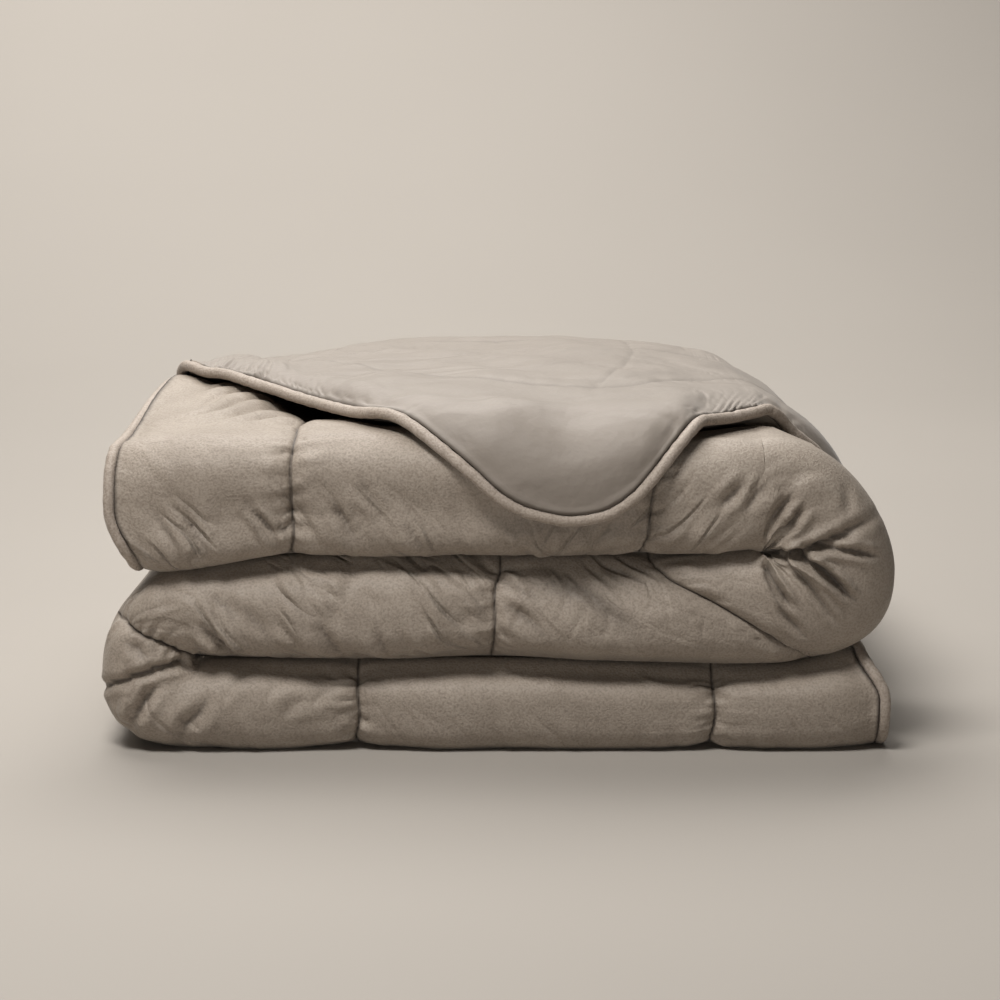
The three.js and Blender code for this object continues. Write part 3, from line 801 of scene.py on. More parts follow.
@dataclass
class Face:
    """One side of the duvet as a grid of rows by columns, with the lengths measured on it."""

    side: Side
    columns: Array
    plies: Array
    points: Array
    plump: Array
    to_border: Array
    edge: Array
    turn: Array  # degrees round a front or rear fold, 0 elsewhere
    along: Array = field(init=False)
    across: Array = field(init=False)
    run: Array = field(init=False)  # along, measured on the front's middle row for every row
    normals: Array = field(init=False)
    final: Array = field(init=False)  # with the relief
    pile_speck_and_crease_shade: Array = field(init=False)  # painted shade: 1 at the bottom of a crease

    def __post_init__(self) -> None:
        """Measures the lengths along and across, and the outward normals."""
        self.along = travelled(self.points, 1)
        self.across = travelled(self.points, 0)
        foremost = np.flatnonzero(self.plies == Ply.FRONT.value)
        foremost = foremost[np.argmin(np.abs(self.turn[foremost]))]
        self.run = np.broadcast_to(self.along[foremost], self.along.shape)
        self.normals = self.outward(self.points)

    def outward(self, points: Array) -> Array:
        """Unit normals: the cross product of the grid's two directions, turned outwards.

        Args:
            points: Points in millimetres.

        Returns:
            One normal a point.
        """
        by_column = np.gradient(points, axis=1)
        by_row = np.gradient(points, axis=0)
        normal = np.cross(by_column, by_row)
        normal /= np.maximum(np.linalg.norm(normal, axis=-1, keepdims=True), TINY)
        return normal * self.sign

    @property
    def sign(self) -> float:
        """Which way the grid's own normal points: 1 on the lining's side of the strip."""
        return 1.0 if self.side is Side.LINING else -1.0

    def rows_of(self, *plies: Ply) -> Array:
        """A column of 1 and 0: which rows belong to these plies."""
        return np.isin(self.plies, [p.value for p in plies])[:, None].astype(float)

    def from_column(self, place: float) -> Array:
        """Signed millimetres along the face from the line at a place.

        Args:
            place: The place along the fold.

        Returns:
            The distances, below 0 before the line.
        """
        index = np.interp(place, self.columns, np.arange(len(self.columns)))
        i = int(index)
        line = lerp(self.along[:, i], self.along[:, i + 1], index - i)
        return self.along - line[:, None]

    def from_row(self, index: float) -> Array:
        """Signed millimetres across the face from the line at a row's index.

        Args:
            index: The row's index, which may lie between two.

        Returns:
            The distances, below 0 before the line.
        """
        i = int(index)
        line = lerp(self.across[i], self.across[i + 1], index - i)
        return self.across - line[None, :]

    def relieved(self, relief: Array) -> Array:
        """The points moved along the normals by the relief, in millimetres outwards."""
        return self.points + self.normals * relief[..., None]


class Waves:
    """Smooth noise: a sum of cosine waves of random length, direction and phase."""

    def __init__(self, seed: int, count: int, shortest: float, longest: float,
                 heading: float = 0.0, fan: float = 180.0) -> None:
        """Draws the waves.

        Args:
            seed: Of the random draws.
            count: How many waves are added up.
            shortest: Shortest wavelength in millimetres.
            longest: Longest wavelength in millimetres.
            heading: Degrees from the fold's own direction in which the waves run.
            fan: How far either way the headings spread.
        """
        rng = np.random.default_rng(seed)
        length = shortest * (longest / shortest) ** rng.random(count)
        angle = np.radians(heading + fan * (2 * rng.random(count) - 1))
        self.u = 2 * np.pi * np.cos(angle) / length
        self.v = 2 * np.pi * np.sin(angle) / length
        self.phase = 2 * np.pi * rng.random(count)
        self.weight = np.sqrt(2.0 / count)

    def __call__(self, along: Array, across: Array) -> Array:
        """The noise at each point, of about unit size.

        Args:
            along: Millimetres along the cloth.
            across: Millimetres across it.

        Returns:
            The noise.
        """
        total = np.zeros(np.broadcast(along, across).shape)
        for u, v, phase in zip(self.u, self.v, self.phase):
            total += np.cos(u * along + v * across + phase)
        return total * self.weight


def ridged(noise: Array, sharpness: float = 1.0) -> Array:
    """Rounded hills with sharp valleys between them, from smooth noise: tanh of its size."""
    return np.tanh(sharpness * np.abs(noise)) * 2 - 1


@dataclass(frozen=True)
class PhotoCamera:
    """The photograph's view: a camera in front of the stack that looks a little down."""

    place: tuple[float, float, float] = (1.8, -2474.2, 618.0)
    tilt: float = 10.2  # degrees below the horizon
    focal: float = 2540.0  # pixels of the photograph's frame
    sensor: float = 36.0  # millimetres

    def seen(self, points: Array) -> Array:
        """Where points of the part show, in pixels of the photograph's frame.

        Args:
            points: Points in millimetres.

        Returns:
            Right and down, in pixels.
        """
        ahead = np.array([0.0, math.cos(math.radians(self.tilt)), -math.sin(math.radians(self.tilt))])
        down = np.array([0.0, ahead[2], -ahead[1]])
        offset = points - np.array(self.place)
        depth = offset @ ahead
        right = PHOTO_SIZE / 2 + self.focal * offset[..., 0] / depth
        return np.stack([right, PHOTO_SIZE / 2 + self.focal * (offset @ down) / depth], axis=-1)

    def build(self) -> None:
        """Makes the camera and hands it to the scene."""
        data = bpy.data.cameras.new("photo_camera")
        data.sensor_width = self.sensor
        data.lens = self.focal * self.sensor / PHOTO_SIZE
        data.clip_start, data.clip_end = 0.05, 60.0
        camera = bpy.data.objects.new("photo_camera", data)
        camera.location = Vector(self.place) * MM
        camera.rotation_euler = (math.radians(90 - self.tilt), 0.0, 0.0)
        bpy.context.scene.collection.objects.link(camera)
        bpy.context.scene.camera = camera


class Fading(Enum):
    """Where along its path a crease dies away."""

    BOTH_ENDS = "both ends"
    LAST_END = "last end"
    NOWHERE = "nowhere"


CREASE_POINTS = 36  # along a crease's path
CREASE_REACH = 60.0  # millimetres from the path, past which nothing moves
FULL_SHADE_DEPTH = 9.0  # a crease this deep gets the full painted shade at its bottom


class Crease(NamedTuple):
    """A crease in the velvet of the front, by its path in pixels of the photograph's frame."""

    path: tuple[tuple[float, float], ...]
    places: tuple[float, float]  # the stretch of the fold that it lies on
    depth: float  # millimetres, inwards
    width: float
    lip: float = 0.4  # share of the depth that the cloth beside it rises
    fading: Fading = Fading.BOTH_ENDS

    def relief(self, face: Face, camera: PhotoCamera) -> tuple[Array, Array]:
        """The crease's relief, a sharp valley with raised lips, and the painted shade at its bottom.

        The path is a smooth curve in the photograph; each of its points goes to the nearest point
        of the face as the camera sees it, and distances are measured in space from there.

        Args:
            face: The velvet side.
            camera: The photograph's view.

        Returns:
            Millimetres outwards, and the painted shade at its bottom, 0 to 1.
        """
        relief = np.zeros(face.points.shape[:2])
        pile_speck_and_crease_shade = np.zeros(face.points.shape[:2])
        rows = np.flatnonzero(face.plies == Ply.FRONT.value)
        inside = (face.columns > self.places[0]) & (face.columns < self.places[1])
        picked = np.ix_(rows, np.flatnonzero(inside))
        points = face.points[picked].reshape(-1, 3)
        stops = np.arange(len(self.path), dtype=float)
        fine = np.linspace(0, stops[-1], CREASE_POINTS)
        wanted = np.stack([SmoothCurve(stops, [p[k] for p in self.path])(fine) for k in (0, 1)], 1)
        seen = camera.seen(points)
        gaps = np.linalg.norm(seen[None] - wanted[:, None], axis=-1)
        line = points[np.argmin(gaps, axis=1)]
        start, run = line[:-1], np.diff(line, axis=0)
        length = np.maximum(np.sum(run * run, axis=-1), TINY)
        to_line = np.linalg.norm(points[:, None] - line[None, ::5], axis=-1).min(1)
        near = np.flatnonzero(to_line < CREASE_REACH)
        offset = points[near, None] - start[None]
        share = np.clip(np.sum(offset * run, axis=-1) / length, 0, 1)
        distance = np.linalg.norm(offset - share[..., None] * run, axis=-1)
        nearest = np.argmin(distance, axis=1)
        picked_share = (nearest + share[np.arange(len(near)), nearest]) / len(start)
        d = distance[np.arange(len(near)), nearest]
        strength = np.ones_like(d)
        if self.fading is not Fading.NOWHERE:
            strength *= progress(picked_share, 1.0, 0.55)
        if self.fading is Fading.BOTH_ENDS:
            strength *= progress(picked_share, 0.0, 0.4)
        lips = self.lip * bell(d - 1.9 * self.width, self.width)
        valley = 0.55 * np.exp(-d / (0.8 * self.width)) + 0.45 * bell(d, 1.2 * self.width)
        shape = np.zeros(len(points))
        shape[near] = -self.depth * strength * (valley - lips)
        relief[picked] = shape.reshape(len(rows), -1)
        # painted shade along the crease's bottom, darker in deeper creases
        crease_shade = np.zeros(len(points))
        crease_shade[near] = strength * bell(d, 0.4 * self.width) * min(1.0, self.depth / FULL_SHADE_DEPTH)
        pile_speck_and_crease_shade[picked] = crease_shade.reshape(len(rows), -1)
        return relief, pile_speck_and_crease_shade


CREASES = (
    # The left fold
    Crease(((188, 663), (150, 672), (100, 687)), (1.1, 1.9), 9, 4, 0.2, fading=Fading.NOWHERE),
    Crease(((160, 680), (142, 705), (125, 737)), (1.02, 1.6), 7, 5),
    Crease(((178, 750), (186, 725), (203, 708), (209, 686)), (0.85, 1.3), 5, 6),
    Crease(((150, 664), (136, 650), (118, 640)), (1.2, 1.98), 4, 5),
    # The right fold, from its rim inwards
    Crease(((768, 553), (790, 552), (813, 547), (848, 530), (888, 504)), (2.9, 4.1), 12, 4.5, 0.4,
           fading=Fading.LAST_END),
    Crease(((819, 545), (856, 551), (881, 558)), (3.1, 3.85), 6, 3.2, 0.6, fading=Fading.LAST_END),
    Crease(((795, 551), (824, 571), (841, 588), (856, 602)), (3.0, 3.75), 10, 3.4, 0.8,
           fading=Fading.LAST_END),
    Crease(((781, 553), (806, 581), (826, 609), (846, 633)), (2.95, 3.6), 4.5, 3, fading=Fading.LAST_END),
    Crease(((766, 568), (781, 593), (795, 611)), (2.9, 3.45), 8, 3.4, 0.8, fading=Fading.LAST_END),
    Crease(((766, 580), (779, 606), (796, 628), (812, 643)), (2.85, 3.5), 4.5, 3.6,
           fading=Fading.LAST_END),
    Crease(((800, 498), (797, 514), (786, 525), (760, 533)), (3.6, 4.3), 7, 4.5, 0.6),
    Crease(((840, 480), (845, 500), (842, 520)), (3.4, 4.0), 3, 5),
    # Drag lines of the top layer, and of the middle one
    Crease(((240, 498), (262, 523), (285, 551)), (4.6, 5.0), 4.5, 3.2, 0.9),
    Crease(((183, 515), (196, 535), (213, 556)), (4.7, 5.0), 4, 5),
    Crease(((148, 500), (165, 530), (190, 560)), (4.75, 5.0), 3, 5),
    Crease(((274, 528), (283, 533), (291, 529)), (4.6, 4.9), 5, 2.5),
    Crease(((329, 500), (343, 522), (362, 547)), (4.4, 4.8), 4.5, 5, 0.6),
    Crease(((355, 471), (370, 498), (387, 524)), (4.4, 4.8), 3, 5),
    Crease(((400, 520), (415, 535), (432, 549)), (4.3, 4.7), 3, 4),
    Crease(((712, 512), (733, 494), (752, 478)), (3.85, 4.25), 4.5, 4.5, 0.6),
    Crease(((742, 512), (757, 494), (772, 478)), (3.85, 4.25), 4, 4.5, 0.6),
    Crease(((768, 530), (782, 508), (796, 485)), (3.7, 4.2), 5, 5, 0.6),
    Crease(((590, 549), (606, 533), (617, 520)), (4.1, 4.5), 3, 4),
    Crease(((190, 617), (218, 641), (242, 665)), (1.8, 2.3), 6, 4.5, 0.6),
    Crease(((206, 590), (224, 606), (242, 621)), (1.8, 2.3), 3, 5),
    Crease(((236, 600), (258, 624), (279, 646)), (1.9, 2.35), 3.5, 5),
    Crease(((310, 612), (332, 640), (352, 662)), (2.0, 2.5), 4.5, 5, 0.6),
    Crease(((374, 622), (382, 640), (393, 658)), (2.1, 2.6), 3.5, 4.5),
    Crease(((500, 600), (527, 620), (558, 642)), (2.4, 2.8), 4, 6),
    Crease(((497, 572), (520, 590), (545, 603)), (2.45, 2.8), 3, 5),
    Crease(((530, 572), (590, 598), (655, 640)), (2.45, 3.0), 6, 20, 0.2),
)


@dataclass(frozen=True)
class Gathers:
    """Small puckers along a seam: waves across it that die away from it, of three lengths."""

    seed: int
    strength: float = 1.0
    lengths: tuple[float, ...] = (8.0, 15.0, 31.0)
    heights: tuple[float, ...] = (0.45, 0.75, 0.9)
    reaches: tuple[float, ...] = (7.0, 15.0, 32.0)
    offset: float = 37.0  # along the seam, between the puckers of its two sides
    rise: float = 2.5  # distance in which they rise beside the seam

    def relief(self, along: Array, distance: Array) -> Array:
        """Their relief, from millimetres along the seam and away from it.

        Args:
            along: Millimetres along the seam.
            distance: Millimetres from the seam, either way.

        Returns:
            Millimetres outwards.
        """
        total = np.zeros(np.broadcast(along, distance).shape)
        off = np.abs(distance)
        side = np.sign(distance) * self.offset
        for k, (length, height, reach) in enumerate(zip(self.lengths, self.heights, self.reaches)):
            wave = Waves(self.seed + k, 7, 0.7 * length, 1.6 * length, fan=0)
            patchy = 0.6 + 0.4 * Waves(self.seed + 9 + k, 5, 70, 190, fan=0)(along + side, 0 * off)
            folds = 0.9 * ridged(wave(along + side, 0 * off), 1.5)
            total += height * folds * patchy * np.exp(-off / reach) * (1 - np.exp(-off / self.rise))
        return self.strength * total


class Channel(NamedTuple):
    """The shape of a stitched line across its length, in millimetres."""

    depth: float
    width: float
    groove_depth: float
    groove_width: float

    def drawn_in(self, distance: Array) -> Array:
        """The depth at a distance: a cusp and a wider bell, with a narrow groove for the thread.

        Args:
            distance: Millimetres from the seam, either way.

        Returns:
            Millimetres inwards.
        """
        off = np.abs(distance)
        wide = 0.5 * np.exp(-off / self.width) + 0.5 * bell(off, 2.6 * self.width)
        return self.depth * wide + self.groove_depth * bell(off, self.groove_width)


TURN_SPREAD = 16  # degrees either way in which a drag wrinkle's start is drawn
HEADING_SPREAD = 15  # and its heading


class Drags(NamedTuple):
    """Drag wrinkles that start near one row of the front and run aslant over it."""

    places: tuple[float, float]
    turn: float  # degrees round the front fold where they start
    heading: float  # degrees from the fold's own direction to theirs
    count: int
    length: tuple[float, float]
    depth: float  # millimetres
    width: float = 3.2

    def relief(self, face: Face, rng: np.random.Generator) -> Array:
        """Each wrinkle is a valley, exp(-|b| / width), with a ridge on its upper side, along a line
        that bends a little; it starts at once and dies away along its length.

        Args:
            face: The velvet side.
            rng: The random draws.

        Returns:
            Millimetres outwards.
        """
        total = np.zeros(face.along.shape)
        rows = np.flatnonzero(face.plies == Ply.FRONT.value)
        for _ in range(self.count):
            place = rng.uniform(*self.places)
            column = int(np.searchsorted(face.columns, place))
            turn = rng.uniform(-TURN_SPREAD, TURN_SPREAD)
            row = rows[np.argmin(np.abs(face.turn[rows] - self.turn - turn))]
            length = rng.uniform(*self.length)
            angle = math.radians(self.heading + rng.uniform(-HEADING_SPREAD, HEADING_SPREAD))
            bend = rng.uniform(-0.25, 0.25) / length
            size = self.depth * rng.uniform(0.45, 1.0)
            width = self.width * rng.uniform(0.75, 1.35)
            s = face.run - face.run[row, column]
            v = face.across - face.across[row, column]
            a = s * math.cos(angle) + v * math.sin(angle)
            b = v * math.cos(angle) - s * math.sin(angle) + bend * a * a
            near = (np.abs(a) < 1.3 * length) & (np.abs(b) < 8 * width)
            a, b = a[near], b[near]
            strength = progress(a, -0.22 * length, 0.12 * length) * progress(a, length, 0.3 * length)
            spread_out = width * (1 + 1.2 * np.clip(a / length, 0, 1))
            shape = 0.75 * bell(b - 1.7 * spread_out, 1.3 * spread_out) - np.exp(-np.abs(b) / spread_out)
            total[near] += size * strength * shape
        return total


class Roll(NamedTuple):
    """A fuller roll of the filling along the front fold, or a hollow where its height is below 0."""

    height: float  # millimetres
    turn: float  # degrees round the front fold
    width: float  # degrees


def rolled(rolls: Sequence[Roll], turn: Array) -> Array:
    """The height of some rolls added up, each a bell curve round the fold."""
    return sum(roll.height * bell(turn - roll.turn, roll.width) for roll in rolls)


def strengths(face: Face, table: Sequence[Stop]) -> Array:
    """A table's strength at each column of a face, by its place along the fold."""
    return curve_of(table)(face.columns)[None, :]


@dataclass(frozen=True)
class Quilting:
    """The stitched lines, the crowns between them and the cloth's own unevenness."""

    on_velvet: Channel = Channel(8.5, 5.0, 2.0, 1.4)
    on_lining: Channel = Channel(1.1, 4.5, 0.7, 1.6)
    box_on_velvet: Channel = Channel(7.0, 8.0, 1.5, 1.9)
    trough: float = 2.2  # of the lining in front of the first box line
    fold_height: float = 6.5  # of the velvet folds under the turned corner
    fold_spacing: float = 33.0
    fold_slant: tuple[float, float] = (0.85, 0.53)  # of their heading, along and across
    top_rolls: tuple[Roll, ...] = (Roll(2.5, 32, 22), Roll(-6, -8, 22), Roll(4.5, -52, 24))
    middle_rolls: tuple[Roll, ...] = (Roll(-8, -58, 24), Roll(-5, 64, 20), Roll(4, 25, 26))
    bottom_rolls: tuple[Roll, ...] = (Roll(-9, 58, 26),)
    crown: float = 4.5
    lining_crown: float = 1.2
    box_line: float = 166.0
    rear_box_line: float = 124.0
    thread_width: float = 1.1
    set_back: float = 8.0
    # How far the second ply stands up under the turned corner, by its distance from the left end
    corner_rise: tuple[Stop, ...] = (
        Stop(0, 7), Stop(60, 8), Stop(110, 3), Stop(150, -5), Stop(190, -12), Stop(240, -15),
    )
    drags: tuple[Drags, ...] = (
        # The top layer, from its left end to the right fold
        Drags((4.74, 4.99), -48, 52, 9, (34, 75), 2.6),
        Drags((4.72, 4.98), 30, 58, 5, (30, 60), 1.4, 4.0),
        Drags((4.45, 4.72), -58, 50, 9, (24, 60), 2.8),
        Drags((4.28, 4.46), -62, 46, 8, (16, 34), 3.2),
        Drags((4.18, 4.30), -60, 128, 5, (16, 34), 3.2),
        Drags((3.92, 4.15), -50, 126, 8, (30, 66), 3.8),
        Drags((3.90, 4.12), 10, 124, 5, (24, 48), 2.6, 3.6),
        # The right fold
        Drags((3.15, 3.8), -72, 88, 9, (22, 60), 3.0, 3.6),
        # The middle layer
        Drags((2.02, 2.5), 64, 228, 15, (26, 74), 5.0),
        Drags((2.05, 2.5), 5, 226, 9, (24, 50), 3.4, 3.8),
        Drags((2.3, 2.52), -62, 48, 5, (18, 36), 2.4),
        Drags((2.54, 2.86), -62, 44, 11, (34, 90), 3.8),
        Drags((2.6, 2.95), 58, 224, 5, (20, 50), 2.2),
        # The left fold
        Drags((1.1, 1.95), -60, 84, 5, (20, 52), 2.0),
        # The bottom layer
        Drags((0.03, 0.97), 52, 232, 11, (18, 46), 1.8, 3.8),
        Drags((0.03, 0.97), -52, 60, 11, (16, 40), 1.8, 3.8),
        Drags((0.78, 0.99), 10, 128, 4, (30, 60), 3.2, 3.8),
    )
    corner: Span = Span(4.45, 4.7)  # along the fold, where the velvet shows under the turned corner
    left_fold: tuple[Span, Span] = (Span(1.05, 1.25), Span(1.95, 1.75))
    middle_layer: tuple[Span, Span] = (Span(1.9, 2.1), Span(3.05, 2.9))
    tug_turns: tuple[float, ...] = (-55, -20, 15, 50)  # round the front fold
    tugs: Drags = Drags((-0.012, 0.012), 0, 0, 11, (13, 30), 2.3, 2.3)  # at each stitched line
    # How strong the wrinkles that rise to the right are along the fold, then those that fall
    rising: tuple[Stop, ...] = (
        Stop(2.6, 0), Stop(2.7, 0.5), Stop(2.9, 0.2), Stop(3.6, 0.3), Stop(3.9, 1.2), Stop(4.1, 1.3),
        Stop(4.3, 0.9), Stop(4.42, 0.2), Stop(4.5, 0),
    )
    falling: tuple[Stop, ...] = (
        Stop(0, 0.25), Stop(0.7, 0.3), Stop(1, 0.55), Stop(1.3, 0.7), Stop(1.8, 0.9), Stop(2.05, 1.3),
        Stop(2.45, 1.1), Stop(2.6, 0.5), Stop(2.75, 0.25), Stop(2.9, 0.1), Stop(3.3, 0.1),
        Stop(3.9, 0.1), Stop(4.3, 0.4), Stop(4.5, 0.9), Stop(4.8, 1.3), Stop(5, 1.1),
    )

    def openness(self, face: Face) -> Array:
        """How much relief shows: all in the open, none against the ground or a neighbour.

        Args:
            face: One side of the duvet.

        Returns:
            0 to 1 at each point.
        """
        place = face.columns[None, :]
        rounded = np.maximum(np.cos(np.radians(face.turn)), 0) ** 0.45
        if face.side is Side.VELVET:
            corner = self.corner.of(place)
            over_top = 0.7 * progress(face.turn, 0, 80)[:, None] * corner
            in_left_fold = self.left_fold[0].of(place) * self.left_fold[1].of(place)
            return (face.rows_of(Ply.UNDER) * in_left_fold
                    + face.rows_of(Ply.FRONT) * np.maximum(rounded[:, None], over_top)
                    + face.rows_of(Ply.MIDDLE) * 0.7 * corner)
        return (face.rows_of(Ply.REAR) * rounded[:, None]
                + face.rows_of(Ply.OVER) * FLAP_OPEN.of(place))

    def line_distances(self, face: Face) -> list[Array]:
        """Signed millimetres from each stitched line, which wanders a little."""
        wobble = Waves(SEED, 6, 45, 130)(0 * face.along, face.across)
        return [face.from_column(line.place) + wobble for line in STITCHED_LINES]

    def stitched(self, face: Face) -> Array:
        """1 on the stitches, 0 away from them: the drawn-in pile with painted shade in its groove, and
        painted shade in creases and beside the piping.

        Args:
            face: One side of the duvet.

        Returns:
            0 to 1 at each point.
        """
        nearest = np.min(np.abs(self.line_distances(face)), axis=0)
        # darkening along the stitches: the drawn-in pile, and painted shade in their groove
        seam_and_painted_shade = bell(nearest, self.thread_width)
        if face.side is Side.LINING:
            seam_and_painted_shade = 0.35 * seam_and_painted_shade * self.behind_box_line(face)
        for d, shown in self.box_lines(face):
            strength = 0.35 if face.side is Side.LINING else 0.9
            seam_and_painted_shade = np.maximum(seam_and_painted_shade, strength * shown * bell(d, self.thread_width))
        # painted shade at the bottoms of creases
        seam_and_painted_shade = np.maximum(seam_and_painted_shade, 0.7 * face.pile_speck_and_crease_shade)
        # painted shade in the seam beside the piping
        return np.maximum(seam_and_painted_shade, bell(face.to_border, 1.8))

    def marks(self, face: Face) -> dict[str, Array]:
        """What the materials need at each point: the seams' darkening with its painted shade, and how
        wrinkled the velvet is each way.

        Args:
            face: One side of the duvet.

        Returns:
            Strengths by the name of the attribute.
        """
        patchy = progress(Waves(SEED + 4, 9, 60, 170)(face.run, face.across), -1.1, 0.9)
        wrinkled = patchy * self.near_slit(face) * self.openness(face) * (face.side is Side.VELVET)
        return {"stitched": self.stitched(face),
                "falling": wrinkled * strengths(face, self.falling),
                "rising": wrinkled * strengths(face, self.rising)}

    def near_slit(self, face: Face) -> Array:
        """Drag wrinkles are strong low on the top and bottom layers and all over the middle one.

        Args:
            face: One side of the duvet.

        Returns:
            0 to 1 at each point.
        """
        low = lerp(0.15, 1.0, progress(-face.turn, -25, 40))[:, None]
        in_middle_layer = self.middle_layer[0].of(face.columns) * self.middle_layer[1].of(face.columns)
        return lerp(low, 0.95, in_middle_layer[None, :])

    def behind_box_line(self, face: Face) -> Array:
        """0 near the free edge, 1 behind the line along the duvet."""
        return progress(np.minimum(face.edge, FAR), self.box_line - 30, self.box_line + 10)

    def relief(self, face: Face, camera: PhotoCamera) -> Array:
        """Everything that raises or draws in one face, in millimetres outwards.

        Args:
            face: One side of the duvet.
            camera: The photograph's view.

        Returns:
            Millimetres outwards.
        """
        on_velvet = face.side is Side.VELVET
        distances = self.line_distances(face)
        nearest = np.min(np.abs(distances), axis=0)
        total = (self.crown if on_velvet else self.lining_crown) * progress(nearest, 16, 80)
        shape = self.on_velvet if on_velvet else self.on_lining
        stitches = 1.0 if on_velvet else self.behind_box_line(face)
        for k, d in enumerate(distances):
            total -= shape.drawn_in(d) * stitches
            gathers = Gathers(SEED + 40 * k, 2.3 if on_velvet else 0.45)
            total += gathers.relief(face.across, d) * stitches
            if not on_velvet:
                total -= self.trough * bell(d, 24) * (1 - stitches)
        for d, shown in self.box_lines(face):
            total -= (self.box_on_velvet if on_velvet else self.on_lining).drawn_in(d) * shown
            total += Gathers(SEED + 500, 1.0 if on_velvet else 0.45).relief(face.along, d) * shown
        if on_velvet:
            total += self.velvet_waves(face) + self.slump(face)
        else:
            total += self.lining_waves(face)
        total *= face.plump
        # painted shade at the bottoms of the creases, for the materials
        face.pile_speck_and_crease_shade = np.zeros(total.shape)
        for crease in CREASES if on_velvet else ():
            valley, pile_speck_and_crease_shade = crease.relief(face, camera)
            total += valley
            face.pile_speck_and_crease_shade = np.maximum(face.pile_speck_and_crease_shade, pile_speck_and_crease_shade)
        return total * self.openness(face) + self.held(face)

    def velvet_waves(self, face: Face) -> Array:
        """The velvet's swells, and drag wrinkles that run aslant and are deepest near the slits.

        Args:
            face: One side of the duvet.

        Returns:
            Millimetres outwards.
        """
        s = face.run + 9 * Waves(SEED + 6, 12, 50, 150)(face.run, face.across)
        v = face.across + 9 * Waves(SEED + 7, 12, 50, 150)(face.run, face.across)
        near_slit = self.near_slit(face)
        patchy = progress(Waves(SEED + 4, 9, 60, 170)(s, v), -0.9, 0.9)
        total = 0.9 * Waves(SEED + 1, 16, 80, 210)(s, v)
        for k, (heading, table) in enumerate(((-36, self.falling), (36, self.rising))):
            long = ridged(Waves(SEED + 2 + 10 * k, 18, 28, 80, heading, 24)(s, v), 1.5)
            total = total + 0.6 * long * patchy * near_slit * strengths(face, table)
        rng = np.random.default_rng(SEED + 60)
        for drags in self.drags:
            total = total + drags.relief(face, rng)
        for line in STITCHED_LINES:
            for turn in self.tug_turns:
                for heading in (0, 180):
                    start = (line.place - 0.006, line.place + 0.006)
                    tugs = self.tugs._replace(places=start, turn=turn, heading=heading, count=3)
                    total = total + tugs.relief(face, rng)
        return total

    def slump(self, face: Face) -> Array:
        """The filling has slid down: a shallow hollow half way up, a fuller roll below it.

        Args:
            face: One side of the duvet.

        Returns:
            Millimetres outwards.
        """
        turn, place = face.turn[:, None], face.columns[None, :]
        in_top = lerp(0.6, 1.0, progress(place, 4.1, 4.4)) * progress(place, 3.85, 4.1)
        in_middle = progress(place, 1.95, 2.15) * progress(place, 2.95, 2.8)
        in_bottom = progress(place, 1.0, 0.85)
        return (rolled(self.top_rolls, turn) * (in_top + 0.4 * in_bottom)
                + rolled(self.middle_rolls, turn) * in_middle
                + rolled(self.bottom_rolls, turn) * in_bottom)

    def lining_waves(self, face: Face) -> Array:
        """The lining's soft swells and a few thin crumples.

        Args:
            face: One side of the duvet.

        Returns:
            Millimetres outwards.
        """
        s, v = face.along, face.across
        patchy = progress(Waves(SEED + 14, 9, 70, 190)(s, v), -0.3, 1.1)
        crumples = ridged(Waves(SEED + 12, 14, 40, 110, 20, 60)(s, v), 2.2)
        fine = Waves(SEED + 13, 20, 14, 34, 20, 60)(s, v)
        return 1.4 * Waves(SEED + 11, 14, 90, 240)(s, v) + (0.5 * crumples + 0.14 * fine) * patchy

    def held(self, face: Face) -> Array:
        """What the plies do to each other: the third stands behind the two front ones at the right
        fold, and the second swells up towards it at the left end.

        Args:
            face: One side of the duvet.

        Returns:
            Millimetres outwards.
        """
        place = face.columns[None, :]
        if face.side is Side.VELVET:
            back = face.points[..., 1] + FoldMap.origin[1]
            from_end = face.along[:, -1:] - face.along
            raised = curve_of(self.corner_rise)(from_end)
            raised = raised * progress(place, 4.2, 4.45) * progress(back, 50, 235)
            phase = (self.fold_slant[0] * face.run + self.fold_slant[1] * face.across) / self.fold_spacing
            phase = phase + 0.16 * Waves(SEED + 70, 5, 60, 140)(face.run, face.across)
            folds = np.abs(np.sin(np.pi * phase)) ** 0.8 - 0.7
            folds = self.fold_height * folds * progress(from_end, 24, 70) * progress(from_end, 190, 130)
            return face.rows_of(Ply.MIDDLE) * (raised + folds * progress(back, 62, 125))
        turned = progress(place, 3.1, 3.35) * progress(place, 4.02, 3.85)
        return -self.set_back * turned * (face.rows_of(Ply.OVER) + face.rows_of(Ply.REAR))

    def box_lines(self, face: Face) -> list[tuple[Array, Array]]:
        """Distances from the two lines along the duvet, and where each shows.

        Args:
            face: One side of the duvet.

        Returns:
            Pairs of distances and a grid of 0 and 1.
        """
        lines = []
        for ply in (Ply.UNDER, Ply.OVER):
            rows = np.flatnonzero(face.plies == ply.value)
            edges = face.edge[rows, face.edge.shape[1] // 2]
            near, edges = rows[edges < FAR / 2], edges[edges < FAR / 2]
            order = np.argsort(edges)
            index = np.interp(self.box_line, edges[order], near[order])
            lines.append((face.from_row(index), face.rows_of(ply)))
        last_rear = np.flatnonzero(face.plies == Ply.REAR.value)[-1]
        from_rear = face.across - face.across[last_rear][None, :] - self.rear_box_line
        lines.append((from_rear, face.rows_of(Ply.OVER)))
        return lines


